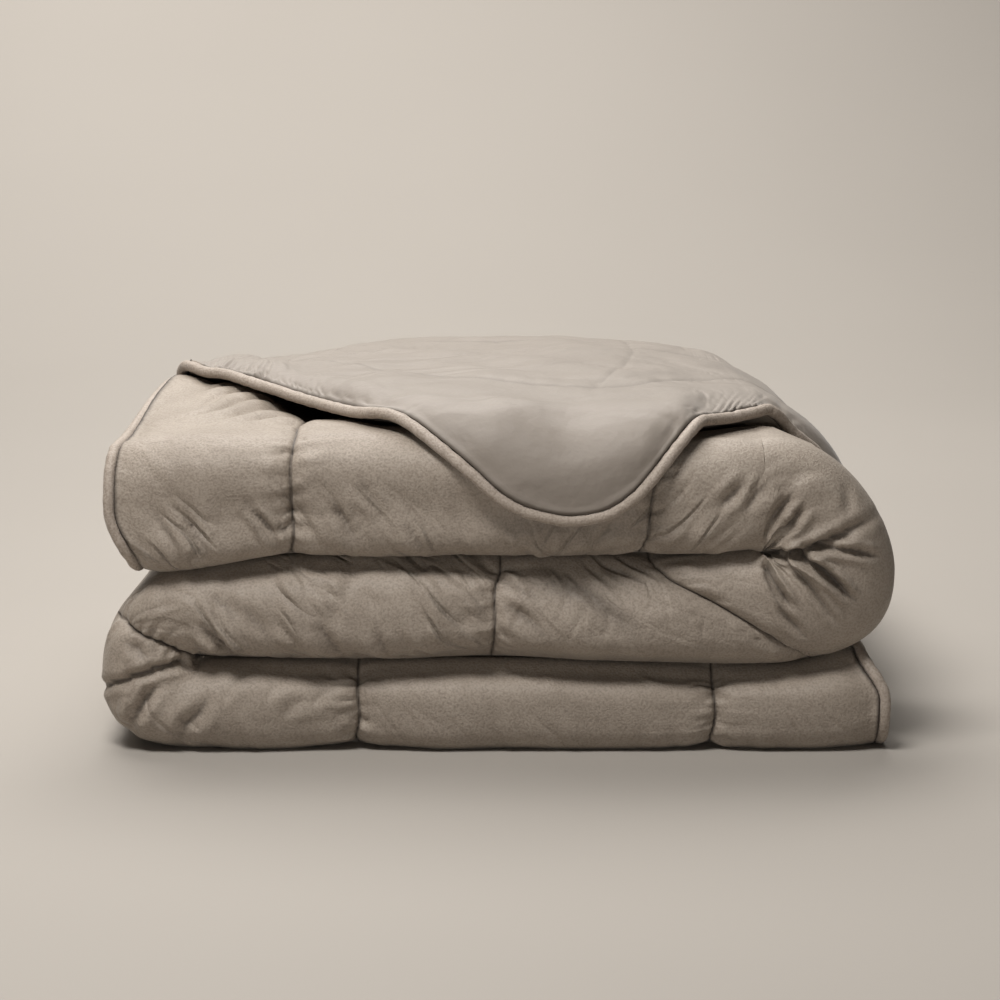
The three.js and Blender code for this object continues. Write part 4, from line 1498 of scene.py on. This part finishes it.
@dataclass(frozen=True)
class Border:
    """The cloth where the piping is sewn in: pinched beside the cord, and gathered."""

    pinch: float = 3.4
    pinch_at: float = 7.0
    pleated: Span = Span(4.42, 4.6)  # where pleats take the place of gathers
    corner_shows: Span = Span(4.8, 4.9)
    off_end: Span = Span(0, 40)  # millimetres from an end, where the edge's gathers begin
    off_corner: Span = Span(8, 34)  # millimetres from a corner
    edge_gathers: tuple[Stop, ...] = (
        Stop(3, 0.8), Stop(3.8, 1.6), Stop(3.93, 7.0), Stop(4.02, 7.0), Stop(4.07, 2.0),
        Stop(4.13, 0.2), Stop(4.27, 0.3), Stop(4.42, 1.0), Stop(4.55, 4.0), Stop(4.65, 5.0),
        Stop(4.85, 4.0), Stop(5, 3.0),
    )

    def relief(self, face: Face) -> Array:
        """The pinch and the gathers near the free edges and the two ends, in millimetres outwards.

        Args:
            face: One side of the duvet.

        Returns:
            Millimetres outwards.
        """
        if face.side is Side.VELVET:
            shown = face.rows_of(Ply.FRONT) * np.maximum(np.cos(np.radians(face.turn)), 0)[:, None]
            shown = shown + face.rows_of(Ply.MIDDLE) * self.corner_shows.of(face.columns)[None, :]
        else:
            shown = face.rows_of(Ply.OVER) + face.rows_of(Ply.REAR)
            shown = shown * FLAP_OPEN.of(face.columns[None, :])
        ends = np.minimum(face.along, face.along[:, -1:] - face.along)
        at_ends = Gathers(SEED + 700, 1.3).relief(face.across, ends + 1.0)
        edge = np.minimum(face.edge, FAR)
        gathers = Gathers(SEED + 800, 1.0, (10.0, 15.0, 27.0), (0.5, 0.8, 0.6), (8.0, 12.0, 18.0))
        pleats = Gathers(SEED + 850, 5.0, (22.0, 33.0, 52.0), (0.5, 0.8, 0.5), (24.0, 36.0, 48.0))
        at_edge = gathers.relief(face.along, edge + 1.0) * strengths(face, self.edge_gathers)
        pleated = self.pleated.of(face.columns)[None, :]
        at_edge = lerp(at_edge, pleats.relief(face.along, edge + 1.0), pleated)
        off_corner = self.off_corner.of(np.hypot(edge, ends))
        share = face.to_border / self.pinch_at
        pinched = self.pinch * share * np.exp(1 - share)
        gathered = at_ends * (ends < 120) + at_edge * (edge < 150) * self.off_end.of(ends) - pinched
        return shown * off_corner * gathered


def strip(lower: Array, upper: Array, lower_at: Array, upper_at: Array) -> Array:
    """Triangles between two lines of vertices, which may have different numbers of them.

    Each stretch of either line gets the other line's vertex that is current when the two are gone
    through together, in the order of the stretches' middles.

    Args:
        lower: Vertex numbers of one line.
        upper: Vertex numbers of the other.
        lower_at: Where along the line each of the first lies.
        upper_at: Where each of the second lies.

    Returns:
        Three vertex numbers a face.
    """
    middles = np.concatenate([lower_at[1:] + lower_at[:-1], upper_at[1:] + upper_at[:-1]])
    order = np.argsort(middles, kind="stable")
    is_lower = order < len(lower) - 1
    i = np.cumsum(is_lower) - is_lower
    j = np.cumsum(~is_lower) - ~is_lower
    next_lower = lower[np.minimum(i + 1, len(lower) - 1)]
    next_upper = upper[np.minimum(j + 1, len(upper) - 1)]
    return np.where(is_lower[:, None],
                    np.stack([lower[i], next_lower, upper[j]], axis=1),
                    np.stack([next_upper, upper[j], lower[i]], axis=1))


def make_object(name: str, points: Array, triangles: Array, uv: Array,
                slots: Sequence[bpy.types.Material], slot_of: Array | None = None,
                marks: dict[str, Array] | None = None) -> bpy.types.Object:
    """A smooth-shaded mesh object at the origin, from arrays.

    Args:
        name: The object's name.
        points: Vertices in millimetres.
        triangles: Three vertex numbers a face.
        uv: Millimetres along and across the cloth at each vertex.
        slots: Its materials.
        slot_of: Which of them each face has.
        marks: Named strengths at each vertex, for the materials.

    Returns:
        The linked object.
    """
    mesh = bpy.data.meshes.new(name)
    mesh.vertices.add(len(points))
    mesh.vertices.foreach_set("co", (points * MM).astype(np.float32).ravel())
    mesh.loops.add(triangles.size)
    mesh.loops.foreach_set("vertex_index", triangles.astype(np.int32).ravel())
    mesh.polygons.add(len(triangles))
    mesh.polygons.foreach_set("loop_start", np.arange(0, triangles.size, 3, dtype=np.int32))
    mesh.polygons.foreach_set("use_smooth", np.ones(len(triangles), bool))
    layer = mesh.uv_layers.new(name="cloth")
    layer.data.foreach_set("uv", (uv[triangles.ravel()] * MM).astype(np.float32).ravel())
    for material in slots:
        mesh.materials.append(material)
    if slot_of is not None:
        mesh.polygons.foreach_set("material_index", slot_of.astype(np.int32))
    for mark, value in (marks or {}).items():
        mesh.attributes.new(mark, "FLOAT", "POINT").data.foreach_set("value", value.astype(np.float32))
    mesh.update(calc_edges=True)
    mesh.validate()
    made = bpy.data.objects.new(name, mesh)
    bpy.context.scene.collection.objects.link(made)
    return made


class Fineness(NamedTuple):
    """On one ply of one side, how many fine columns a kept one stands for."""

    side: Side
    ply: Ply
    places: tuple[float, float]
    stride: int


HIDDEN_STRIDE = 14
FINENESS = (
    Fineness(Side.VELVET, Ply.UNDER, (0.97, 2.03), 2),
    Fineness(Side.VELVET, Ply.FRONT, (0, 5), 1),
    Fineness(Side.VELVET, Ply.MIDDLE, (4.4, 4.7), 2),
    Fineness(Side.VELVET, Ply.MIDDLE, (4.7, 5), 1),
    Fineness(Side.VELVET, Ply.OVER, (4.6, 5), 3),
    Fineness(Side.LINING, Ply.REAR, (0, 5), 4),
    Fineness(Side.LINING, Ply.OVER, (3.1, 4.1), 1),
    Fineness(Side.LINING, Ply.OVER, (4.1, 4.5), 2),
    Fineness(Side.LINING, Ply.OVER, (4.5, 5), 1),
)


@dataclass
class Duvet:
    """The duvet itself: velvet face, pale lining and filling as one closed cloth."""

    fold: FoldMap = FoldMap()
    quilting: Quilting = Quilting()
    border: Border = Border()
    camera: PhotoCamera = PhotoCamera()
    line_step: float = 1.5  # between columns at a stitched line
    open_step: float = 3.0  # and away from one
    pleat_step: float = 0.9  # and where the flap's edge runs steeply forward
    pleats: tuple[Span, Span] = (Span(3.9, 3.94), Span(4.08, 4.04))
    places_tried: int = 20001  # for the sums of the steps
    side_lengths: tuple[float, ...] = (600.0, 250.0, 494.0, 330.0, 563.0)

    def columns(self) -> Array:
        """Places of the columns: even steps of a length that is shorter near the stitched lines.

        Returns:
            The places, from 0 to 5.
        """
        place = np.linspace(0, 5, self.places_tried)
        length = np.array(self.side_lengths)[np.clip(place.astype(int), 0, 4)]
        lines = np.array([0.0, 5.0] + [line.place for line in STITCHED_LINES])
        off = np.abs(place[:, None] - lines[None]).min(1) * length
        step = lerp(self.line_step, self.open_step, progress(off, 5, 34))
        steep = self.pleats[0].of(place) * self.pleats[1].of(place)
        step = lerp(step, self.pleat_step, steep)
        count = np.cumsum(length / step) * (place[1] - place[0])
        return np.interp(np.linspace(count[0], count[-1], int(count[-1])), count, place)

    def faces(self) -> dict[Side, Face]:
        """The two faces of the folded cloth, before any relief.

        Returns:
            The velvet side and the lining side.
        """
        columns = self.columns()
        rows = ply_rows()
        grids = [r.grid(self.fold, columns) for r in rows]
        plies = np.repeat([r.ply.value for r in rows], [len(r.at) for r in rows])
        turned = (Ply.FRONT, Ply.REAR)
        turn = np.concatenate([r.at if r.ply in turned else np.full(len(r.at), 90.0) for r in rows])
        joined = {k: np.concatenate([g[k] for g in grids]) for k in grids[0]}
        lengths = (joined["plump"], joined["to_border"], joined["edge"], turn)
        return {side: Face(side, columns, plies, joined[side.name], *lengths) for side in Side}

    def kept(self, face: Face) -> Array:
        """Which of a face's grid points the mesh keeps: fewer columns where nothing shows.

        Args:
            face: The side of the duvet.

        Returns:
            True at the points that are kept.
        """
        number = np.arange(len(face.columns))
        keep = np.zeros(face.along.shape, bool)
        for row, ply in enumerate(face.plies):
            stride = np.full(len(number), HIDDEN_STRIDE)
            for fine in FINENESS:
                if fine.side is face.side and fine.ply.value == ply:
                    inside = (face.columns >= fine.places[0]) & (face.columns <= fine.places[1])
                    stride = np.where(inside, fine.stride, stride)
            keep[row] = number % stride == 0
        keep[[0, -1]] = number % 2 == 0
        keep[:, [0, -1]] = True
        return keep

    def build(self, velvet: bpy.types.Material, lining: bpy.types.Material) -> bpy.types.Object:
        """Builds the dressed duvet and keeps the faces for the piping.

        Args:
            velvet: The face's cloth.
            lining: The other side's cloth.

        Returns:
            The linked object.
        """
        self.made = self.faces()
        points, number, count, uvs, marks = [], {}, 0, [], []
        for side in (Side.LINING, Side.VELVET):
            face = self.made[side]
            face.final = face.relieved(self.quilting.relief(face, self.camera) + self.border.relief(face))
            face.final[..., 2] = np.maximum(face.final[..., 2], 0.0)
            keep = self.kept(face)
            number[side] = np.where(keep, np.cumsum(keep).reshape(keep.shape) - 1 + count, -1)
            points.append(face.final[keep])
            uvs.append(np.stack([face.run[keep], face.across[keep]], axis=1))
            marks.append({name: value[keep] for name, value in self.quilting.marks(face).items()})
            count += int(keep.sum())
        triangles = [self.sheet(number[Side.LINING]), self.sheet(number[Side.VELVET])[:, ::-1]]
        walls = self.walls(number[Side.LINING], number[Side.VELVET])
        slot_of = np.concatenate([np.ones(len(triangles[0])), np.zeros(len(triangles[1]) + len(walls))])
        faces = np.concatenate([*triangles, walls])
        LOG.info("duvet: %d columns, %d vertices, %d triangles",
                 len(self.made[Side.VELVET].columns), count, len(faces))
        return make_object("quilted_duvet", np.concatenate(points), faces, np.concatenate(uvs),
                           [velvet, lining], slot_of,
                           {name: np.concatenate([m[name] for m in marks]) for name in marks[0]})

    def sheet(self, number: Array) -> Array:
        """Triangles between each pair of neighbouring rows of one side.

        Args:
            number: Vertex numbers of the side's grid, -1 where none is kept.

        Returns:
            Three vertex numbers a face.
        """
        lines = [(row[row >= 0], np.flatnonzero(row >= 0)) for row in number]
        return np.concatenate([strip(a, b, at_a, at_b)
                               for (a, at_a), (b, at_b) in zip(lines, lines[1:])])

    def walls(self, front: Array, back: Array) -> Array:
        """Triangles that close the four edges between the two sides.

        Args:
            front: Vertex numbers of the lining's grid.
            back: Vertex numbers of the velvet's grid.

        Returns:
            Three vertex numbers a face.
        """
        pairs = [(back[0], front[0]), (front[-1], back[-1]),
                 (front[:, 0], back[:, 0]), (back[:, -1], front[:, -1])]
        made = []
        for lower, upper in pairs:
            at_lower, at_upper = np.flatnonzero(lower >= 0), np.flatnonzero(upper >= 0)
            made.append(strip(lower[at_lower], upper[at_upper], at_lower, at_upper))
        return np.concatenate(made)


@dataclass
class Piping:
    """The velvet-covered cord sewn into the seam round all four edges."""

    diameter: float = 10.4
    sides: int = 12
    step: float = 2.6
    smoothing: float = 7.0
    unevenness: float = 0.018  # of its radius

    def route(self, duvet: Duvet) -> tuple[Array, Array]:
        """The cord's centre line and the direction out of the edge, round all four edges.

        Args:
            duvet: The duvet, already built.

        Returns:
            Points of the centre line, and unit directions out.
        """
        velvet, lining = duvet.made[Side.VELVET].final, duvet.made[Side.LINING].final
        loop = [(-1, slice(None)), (slice(-2, 0, -1), -1), (0, slice(None, None, -1)),
                (slice(1, -1), 0)]
        a = np.concatenate([velvet[key] for key in loop])
        b = np.concatenate([lining[key] for key in loop])
        middle = (a + b) / 2
        tangent = np.roll(middle, -1, 0) - np.roll(middle, 1, 0)
        outwards = np.cross(b - a, tangent)
        outwards /= np.linalg.norm(outwards, axis=1, keepdims=True)
        centre = middle + outwards * (self.diameter / 2)
        closed = np.concatenate([centre, centre[:1]])
        at = travelled(closed, 0)
        count = int(at[-1] / self.step)
        even = np.linspace(0, at[-1], count, endpoint=False)
        resampled = np.stack([np.interp(even, at, closed[:, k]) for k in range(3)], 1)
        out = np.concatenate([outwards, outwards[:1]])
        out = np.stack([np.interp(even, at, out[:, k]) for k in range(3)], 1)
        return self.smoothed(resampled), self.smoothed(out)

    def smoothed(self, values: Array) -> Array:
        """Values round a closed loop, averaged with a bell-shaped window.

        Args:
            values: Rows of values round the loop.

        Returns:
            The averaged values.
        """
        reach = int(3 * self.smoothing / self.step)
        offsets = np.arange(-reach, reach + 1)
        weights = bell(offsets * self.step, self.smoothing)
        weights /= weights.sum()
        return sum(w * np.roll(values, k, 0) for w, k in zip(weights, offsets))

    def build(self, duvet: Duvet, material: bpy.types.Material) -> bpy.types.Object:
        """A closed tube round the loop: rings of even angle, the cover a little gathered.

        Args:
            duvet: The duvet, already built.
            material: Its cloth.

        Returns:
            The linked object.
        """
        centre, out = self.route(duvet)
        tangent = np.roll(centre, -1, 0) - np.roll(centre, 1, 0)
        tangent /= np.linalg.norm(tangent, axis=1, keepdims=True)
        out -= tangent * np.sum(out * tangent, axis=1, keepdims=True)
        out /= np.linalg.norm(out, axis=1, keepdims=True)
        aside = np.cross(tangent, out)
        angle = np.linspace(0, 2 * np.pi, self.sides, endpoint=False)
        along = np.arange(len(centre)) * self.step
        gather = Waves(SEED + 900, 10, 9, 26, fan=0)(along, 0 * along)
        slant = Waves(SEED + 901, 6, 12, 40, fan=0)(along, 0 * along)
        radius = self.diameter / 2 * (1 + self.unevenness * gather[:, None]
                                      + self.unevenness * slant[:, None] * np.cos(angle[None] + 0.6))
        ring = (centre[:, None] + out[:, None] * (radius * np.cos(angle))[..., None]
                + aside[:, None] * (radius * np.sin(angle))[..., None])
        ring[..., 2] = np.maximum(ring[..., 2], 0.0)
        rows, sides = ring.shape[:2]
        corner = np.arange(rows * sides).reshape(rows, sides)
        ahead, beside = np.roll(corner, -1, 0), np.roll(corner, -1, 1)
        both = np.roll(ahead, -1, 1)
        quads = [np.stack([corner, beside, both], -1), np.stack([corner, both, ahead], -1)]
        triangles = np.concatenate([q.reshape(-1, 3) for q in quads])
        uv = np.stack(np.broadcast_arrays(along[:, None], angle[None] * self.diameter / 2), -1)
        LOG.info("piping: %.2f m of cord, %d triangles", rows * self.step * MM, len(triangles))
        return make_object("piping_cord", ring.reshape(-1, 3), triangles, uv.reshape(-1, 2), [material])


def linear(hex_colour: str) -> tuple[float, float, float, float]:
    """A #rrggbb sRGB colour as linear RGBA."""
    channels = [int(hex_colour[i:i + 2], 16) / 255 for i in (1, 3, 5)]
    return (*[c / 12.92 if c <= 0.04045 else ((c + 0.055) / 1.055) ** 2.4 for c in channels], 1.0)


class Nodes:
    """A material's node tree, built one node at a time."""

    def __init__(self, name: str) -> None:
        """Starts a material with only its shader and output.

        Args:
            name: The material's name.
        """
        self.material = bpy.data.materials.new(name)
        self.material.use_nodes = True
        self.tree = self.material.node_tree
        self.tree.nodes.clear()
        self.shader = self.add("ShaderNodeBsdfPrincipled")
        output = self.add("ShaderNodeOutputMaterial")
        self.tree.links.new(self.shader.outputs[0], output.inputs["Surface"])

    def add(self, kind: str, settings: dict | None = None, **sockets) -> bpy.types.Node:
        """Adds a node.

        Args:
            kind: The node's type.
            settings: Its own properties.
            **sockets: Its inputs, as in fill.

        Returns:
            The node.
        """
        node = self.tree.nodes.new(kind)
        for key, value in (settings or {}).items():
            setattr(node, key, value)
        self.fill(node, **sockets)
        return node

    def fill(self, node: bpy.types.Node, **sockets) -> None:
        """Sets or links a node's inputs.

        Args:
            node: The node.
            **sockets: A value or the socket to link from for each input, by its name with spaces
                written as _, or by its number after an i.
        """
        for key, value in sockets.items():
            index = int(key[1:]) if key[0] == "i" and key[1:].isdigit() else key.replace("_", " ")
            if isinstance(value, bpy.types.NodeSocket):
                self.tree.links.new(value, node.inputs[index])
            else:
                node.inputs[index].default_value = value

    def valleys(self, cloth: bpy.types.NodeSocket, heading: float, stretch: float, spacing_mm: float,
                distortion: float, width: float) -> bpy.types.NodeSocket:
        """Narrow valleys between flat parts: noise stretched one way, folded about its middle.

        Args:
            cloth: The cloth's own coordinates.
            heading: Degrees from the fold's direction in which the valleys run.
            stretch: How many times longer than wide they are.
            spacing_mm: About how far apart they lie.
            distortion: How much they bend.
            width: How much of the noise's range they take.

        Returns:
            Their height, 0 in a valley and 1 between them.
        """
        turned = self.add("ShaderNodeMapping", {"vector_type": "TEXTURE"}, Vector=cloth,
                          Rotation=(0.0, 0.0, math.radians(heading)), Scale=(stretch, 1.0, 1.0))
        noise = self.add("ShaderNodeTexNoise", Vector=turned.outputs[0], Detail=1.0,
                         Distortion=distortion, Scale=1 / (spacing_mm * MM))
        off = self.add("ShaderNodeMath", {"operation": "SUBTRACT"}, i0=noise.outputs[0], i1=0.5)
        size = self.add("ShaderNodeMath", {"operation": "ABSOLUTE"}, i0=off.outputs[0])
        return self.add("ShaderNodeMapRange", {"interpolation_type": "SMOOTHSTEP"},
                        Value=size.outputs[0], From_Min=-0.02, From_Max=width).outputs[0]


@dataclass(frozen=True)
class Velvet:
    """Short-pile polyester velvet, brushed: a soft lustre that turns with the lie of the pile."""

    name: str = "polyester_velvet"
    base: str = "#93887c"
    brushed: str = "#a1968a"  # where the pile lies the other way
    pile_speck_and_crease_shade: str = "#6b5e53"  # dark specks of the pile, at random
    seam: str = "#2b231d"  # along the stitches, where the pile is drawn in, with painted shade in their grooves, at crease bottoms and beside the piping
    pile_mm: float = 2.0  # drawn coarser than the real 0.3 mm pile, so that it shows
    wrinkle_mm: float = 24.0  # between neighbouring wrinkles
    wrinkle_depth_mm: float = 3.4
    sheen: float = 0.1
    sheen_tint: str = "#f4eee6"

    def build(self) -> bpy.types.Material:
        """Makes the material.

        Returns:
            The material.
        """
        n = Nodes(self.name)
        place = n.add("ShaderNodeTexCoord").outputs["Object"]
        cloth = n.add("ShaderNodeUVMap", {"uv_map": "cloth"}).outputs[0]
        stitched = n.add("ShaderNodeAttribute", {"attribute_name": "stitched"}).outputs["Fac"]
        lie = n.add("ShaderNodeTexNoise", Vector=place, Scale=1 / (75 * MM), Detail=3.0, Roughness=0.55,
                    Distortion=0.6)
        aslant = n.add("ShaderNodeMapping", {"vector_type": "TEXTURE"}, Vector=cloth,
                       Rotation=(0.0, 0.0, math.radians(50)), Scale=(3.3, 1.0, 1.0))
        brush = n.add("ShaderNodeTexNoise", Vector=aslant.outputs[0], Scale=1 / (9 * MM), Detail=4.0)
        pile = n.add("ShaderNodeTexNoise", Vector=place, Scale=1 / (self.pile_mm * MM), Detail=2.0)
        turned = n.add("ShaderNodeMath", {"operation": "MULTIPLY_ADD"}, i0=brush.outputs[0], i1=0.3,
                       i2=lie.outputs[0])
        lay = n.add("ShaderNodeMapRange", Value=turned.outputs[0], From_Min=0.45, From_Max=0.85)
        colour = n.add("ShaderNodeMix", {"data_type": "RGBA"}, Factor=lay.outputs[0],
                       i6=linear(self.base), i7=linear(self.brushed))
        speck = n.add("ShaderNodeMapRange", Value=pile.outputs[0], From_Min=0.34, From_Max=0.58,
                      To_Min=0.42, To_Max=0.0)
        speckled = n.add("ShaderNodeMix", {"data_type": "RGBA"}, Factor=speck.outputs[0],
                         i6=colour.outputs[2], i7=linear(self.pile_speck_and_crease_shade))
        # toward the seam colour: the drawn-in pile, and painted shade in the grooves, at crease bottoms
        # and beside the piping
        sewn = n.add("ShaderNodeMath", {"operation": "MULTIPLY", "use_clamp": True}, i0=stitched, i1=1.0)
        darkened = n.add("ShaderNodeMix", {"data_type": "RGBA"}, Factor=sewn.outputs[0],
                         i6=speckled.outputs[2], i7=linear(self.seam))
        folds = [self.wrinkles(n, cloth, mark, heading)
                 for mark, heading in (("falling", 50), ("rising", 126))]
        both = n.add("ShaderNodeMath", {"operation": "ADD"}, i0=folds[0], i1=folds[1])
        wrinkled = n.add("ShaderNodeBump", Height=both.outputs[0], Strength=1.0,
                         Distance=self.wrinkle_depth_mm * MM)
        nap = n.add("ShaderNodeBump", Height=pile.outputs[0], Strength=0.8, Distance=0.8 * MM,
                    Normal=wrinkled.outputs[0])
        stroke = n.add("ShaderNodeBump", Height=brush.outputs[0], Strength=0.4, Distance=1.1 * MM,
                       Normal=nap.outputs[0])
        n.fill(n.shader, Base_Color=darkened.outputs[2], Roughness=0.55, Normal=stroke.outputs[0],
              Sheen_Weight=self.sheen, Sheen_Roughness=0.42, Sheen_Tint=linear(self.sheen_tint),
              Specular_IOR_Level=0.3)
        return n.material

    def wrinkles(self, n: Nodes, cloth: bpy.types.NodeSocket, mark: str,
                 heading: float) -> bpy.types.NodeSocket:
        """Height of the fine drag wrinkles that run one way, times the mark's strength.

        Args:
            n: The material's nodes.
            cloth: The cloth's own coordinates.
            mark: The attribute that holds the strength.
            heading: Degrees from the fold's direction.

        Returns:
            The height's socket.
        """
        strength = n.add("ShaderNodeAttribute", {"attribute_name": mark}).outputs["Fac"]
        valleys = n.valleys(cloth, heading, 3.4, self.wrinkle_mm, 0.35, 0.12)
        return n.add("ShaderNodeMath", {"operation": "MULTIPLY"}, i0=valleys, i1=strength).outputs[0]


@dataclass(frozen=True)
class Lining:
    """Tightly woven brushed microfibre, smooth and matt: it shows small soft crumples."""

    name: str = "brushed_microfibre"
    base: str = "#8c837a"
    shade: str = "#81786f"
    seam: str = "#4a423a"  # in the stitches' holes, with painted shade in them and in the seam beside the piping
    thread_mm: float = 0.8  # drawn coarser than the real 0.15 mm thread
    crease_mm: float = 4.0  # depth of the soft folds

    def build(self) -> bpy.types.Material:
        """Makes the material.

        Returns:
            The material.
        """
        n = Nodes(self.name)
        place = n.add("ShaderNodeTexCoord").outputs["Object"]
        cloth = n.add("ShaderNodeUVMap", {"uv_map": "cloth"}).outputs[0]
        stitched = n.add("ShaderNodeAttribute", {"attribute_name": "stitched"}).outputs["Fac"]
        cloud = n.add("ShaderNodeTexNoise", Vector=place, Scale=1 / (60 * MM), Detail=4.0)
        colour = n.add("ShaderNodeMix", {"data_type": "RGBA"}, Factor=cloud.outputs[0],
                       i6=linear(self.base), i7=linear(self.shade))
        # toward the seam colour at the stitches, and painted shade in the seam beside the piping
        sewn = n.add("ShaderNodeMath", {"operation": "MULTIPLY", "use_clamp": True}, i0=stitched, i1=0.9)
        darkened = n.add("ShaderNodeMix", {"data_type": "RGBA"}, Factor=sewn.outputs[0],
                         i6=colour.outputs[2], i7=linear(self.seam))
        crumple = n.add("ShaderNodeTexNoise", Vector=place, Scale=1 / (16 * MM), Detail=3.0)
        weave = n.add("ShaderNodeTexNoise", Vector=cloth, Scale=1 / (self.thread_mm * MM), Detail=1.0)
        creased = n.add("ShaderNodeBump", Height=n.valleys(cloth, 35, 1.8, 75.0, 0.9, 0.3),
                        Strength=0.8, Distance=self.crease_mm * MM)
        soft = n.add("ShaderNodeBump", Height=crumple.outputs[0], Strength=0.5, Distance=2.4 * MM,
                     Normal=creased.outputs[0])
        fine = n.add("ShaderNodeBump", Height=weave.outputs[0], Strength=0.15, Distance=0.25 * MM,
                     Normal=soft.outputs[0])
        n.fill(n.shader, Base_Color=darkened.outputs[2], Roughness=0.62, Normal=fine.outputs[0],
              Sheen_Weight=0.12, Sheen_Roughness=0.5, Specular_IOR_Level=0.4)
        return n.material


@dataclass(frozen=True)
class Sweep:
    """Matt painted studio paper, pale warm grey, in one sweep from the floor up the back."""

    name: str = "studio_paper"
    base: str = "#a6a099"
    shade: str = "#a19b94"
    width: float = 12000.0
    front: float = -5000.0
    bend: float = 2000.0  # where it begins to curve up
    radius: float = 2500.0
    height: float = 5000.0

    def build(self) -> bpy.types.Object:
        """A profile of floor, quarter circle and wall, carried across the width.

        Returns:
            The linked floor.
        """
        turn = np.radians(np.linspace(0, 90, 17))
        y = np.concatenate([[self.front], self.bend + self.radius * np.sin(turn),
                            [self.bend + self.radius]])
        z = np.concatenate([[0.0], self.radius * (1 - np.cos(turn)), [self.height]])
        x = np.array([-self.width / 2, self.width / 2])
        points = np.stack(np.broadcast_arrays(x[None], y[:, None], z[:, None]), -1)
        corner = np.arange(points[..., 0].size).reshape(points.shape[:2])
        a, b, c, d = corner[:-1, 0], corner[:-1, 1], corner[1:, 1], corner[1:, 0]
        triangles = np.concatenate([np.stack([a, b, c], 1), np.stack([a, c, d], 1)])
        n = Nodes(self.name)
        place = n.add("ShaderNodeTexCoord").outputs["Object"]
        cloud = n.add("ShaderNodeTexNoise", Vector=place, Scale=1 / (900 * MM), Detail=2.0)
        colour = n.add("ShaderNodeMix", {"data_type": "RGBA"}, Factor=cloud.outputs[0],
                       i6=linear(self.base), i7=linear(self.shade))
        n.fill(n.shader, Base_Color=colour.outputs[2], Roughness=0.9, Specular_IOR_Level=0.1)
        floor = make_object("studio_floor", points.reshape(-1, 3), triangles,
                            points.reshape(-1, 3)[:, :2], [n.material])
        return floor


class Lamp(NamedTuple):
    """An area light: where it stands, its size and strength."""

    name: str
    place: tuple[float, float, float]
    size: tuple[float, float]
    watts: float
    aim: tuple[float, float, float] = (0.0, -100.0, 150.0)


@dataclass(frozen=True)
class Studio:
    """Plain soft studio light: a broad lamp overhead and in front, and a weak even surround."""

    white: str = "#fffdfa"
    lamps: tuple[Lamp, ...] = (
        Lamp("key", (-520, -1150, 2000), (900, 500), 41, (-50, -200, 100)),
        Lamp("overhead", (-350, 450, 1900), (1400, 900), 30, (0, 0, 0)),
        Lamp("front", (-350, -2900, 260), (1100, 400), 10),
        Lamp("backdrop", (-700, 2500, 2600), (4200, 2000), 136, (-400, 3300, 0)),
    )
    surround: str = "#e6e2dd"
    surround_strength: float = 0.03

    def build(self) -> None:
        """Makes the lamps and the world."""
        scene = bpy.context.scene
        scene.view_settings.view_transform = "Standard"
        for lamp in self.lamps:
            data = bpy.data.lights.new(lamp.name, "AREA")
            data.shape = "RECTANGLE"
            data.size, data.size_y = lamp.size[0] * MM, lamp.size[1] * MM
            data.energy = lamp.watts
            data.color = linear(self.white)[:3]
            light = bpy.data.objects.new(lamp.name, data)
            light.location = Vector(lamp.place) * MM
            aim = Vector(lamp.aim) * MM - light.location
            light.rotation_euler = aim.to_track_quat("-Z", "Y").to_euler()
            scene.collection.objects.link(light)
        world = bpy.data.worlds.new("surround")
        world.use_nodes = True
        background = world.node_tree.nodes["Background"]
        background.inputs[0].default_value = linear(self.surround)
        background.inputs[1].default_value = self.surround_strength
        scene.world = world


def main() -> None:
    """Builds the studio, the duvet and its piping."""
    PhotoCamera().build()
    Studio().build()
    Sweep().build()
    velvet, lining = Velvet().build(), Lining().build()
    # The piping's velvet is a lighter copy of the face's: partly the pile opened over the cord, partly
    # painted light where the cord catches the lamps.
    piping_velvet = Velvet(name="piping_velvet", base="#a09488", brushed="#aca095").build()
    duvet = Duvet()
    cloth = duvet.build(velvet, lining)
    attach(cloth, "root")
    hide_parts("duvet")
    cord = Piping().build(duvet, piping_velvet)
    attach(cord, "root")
    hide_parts("piping")


if __name__ == "__main__":
    main()
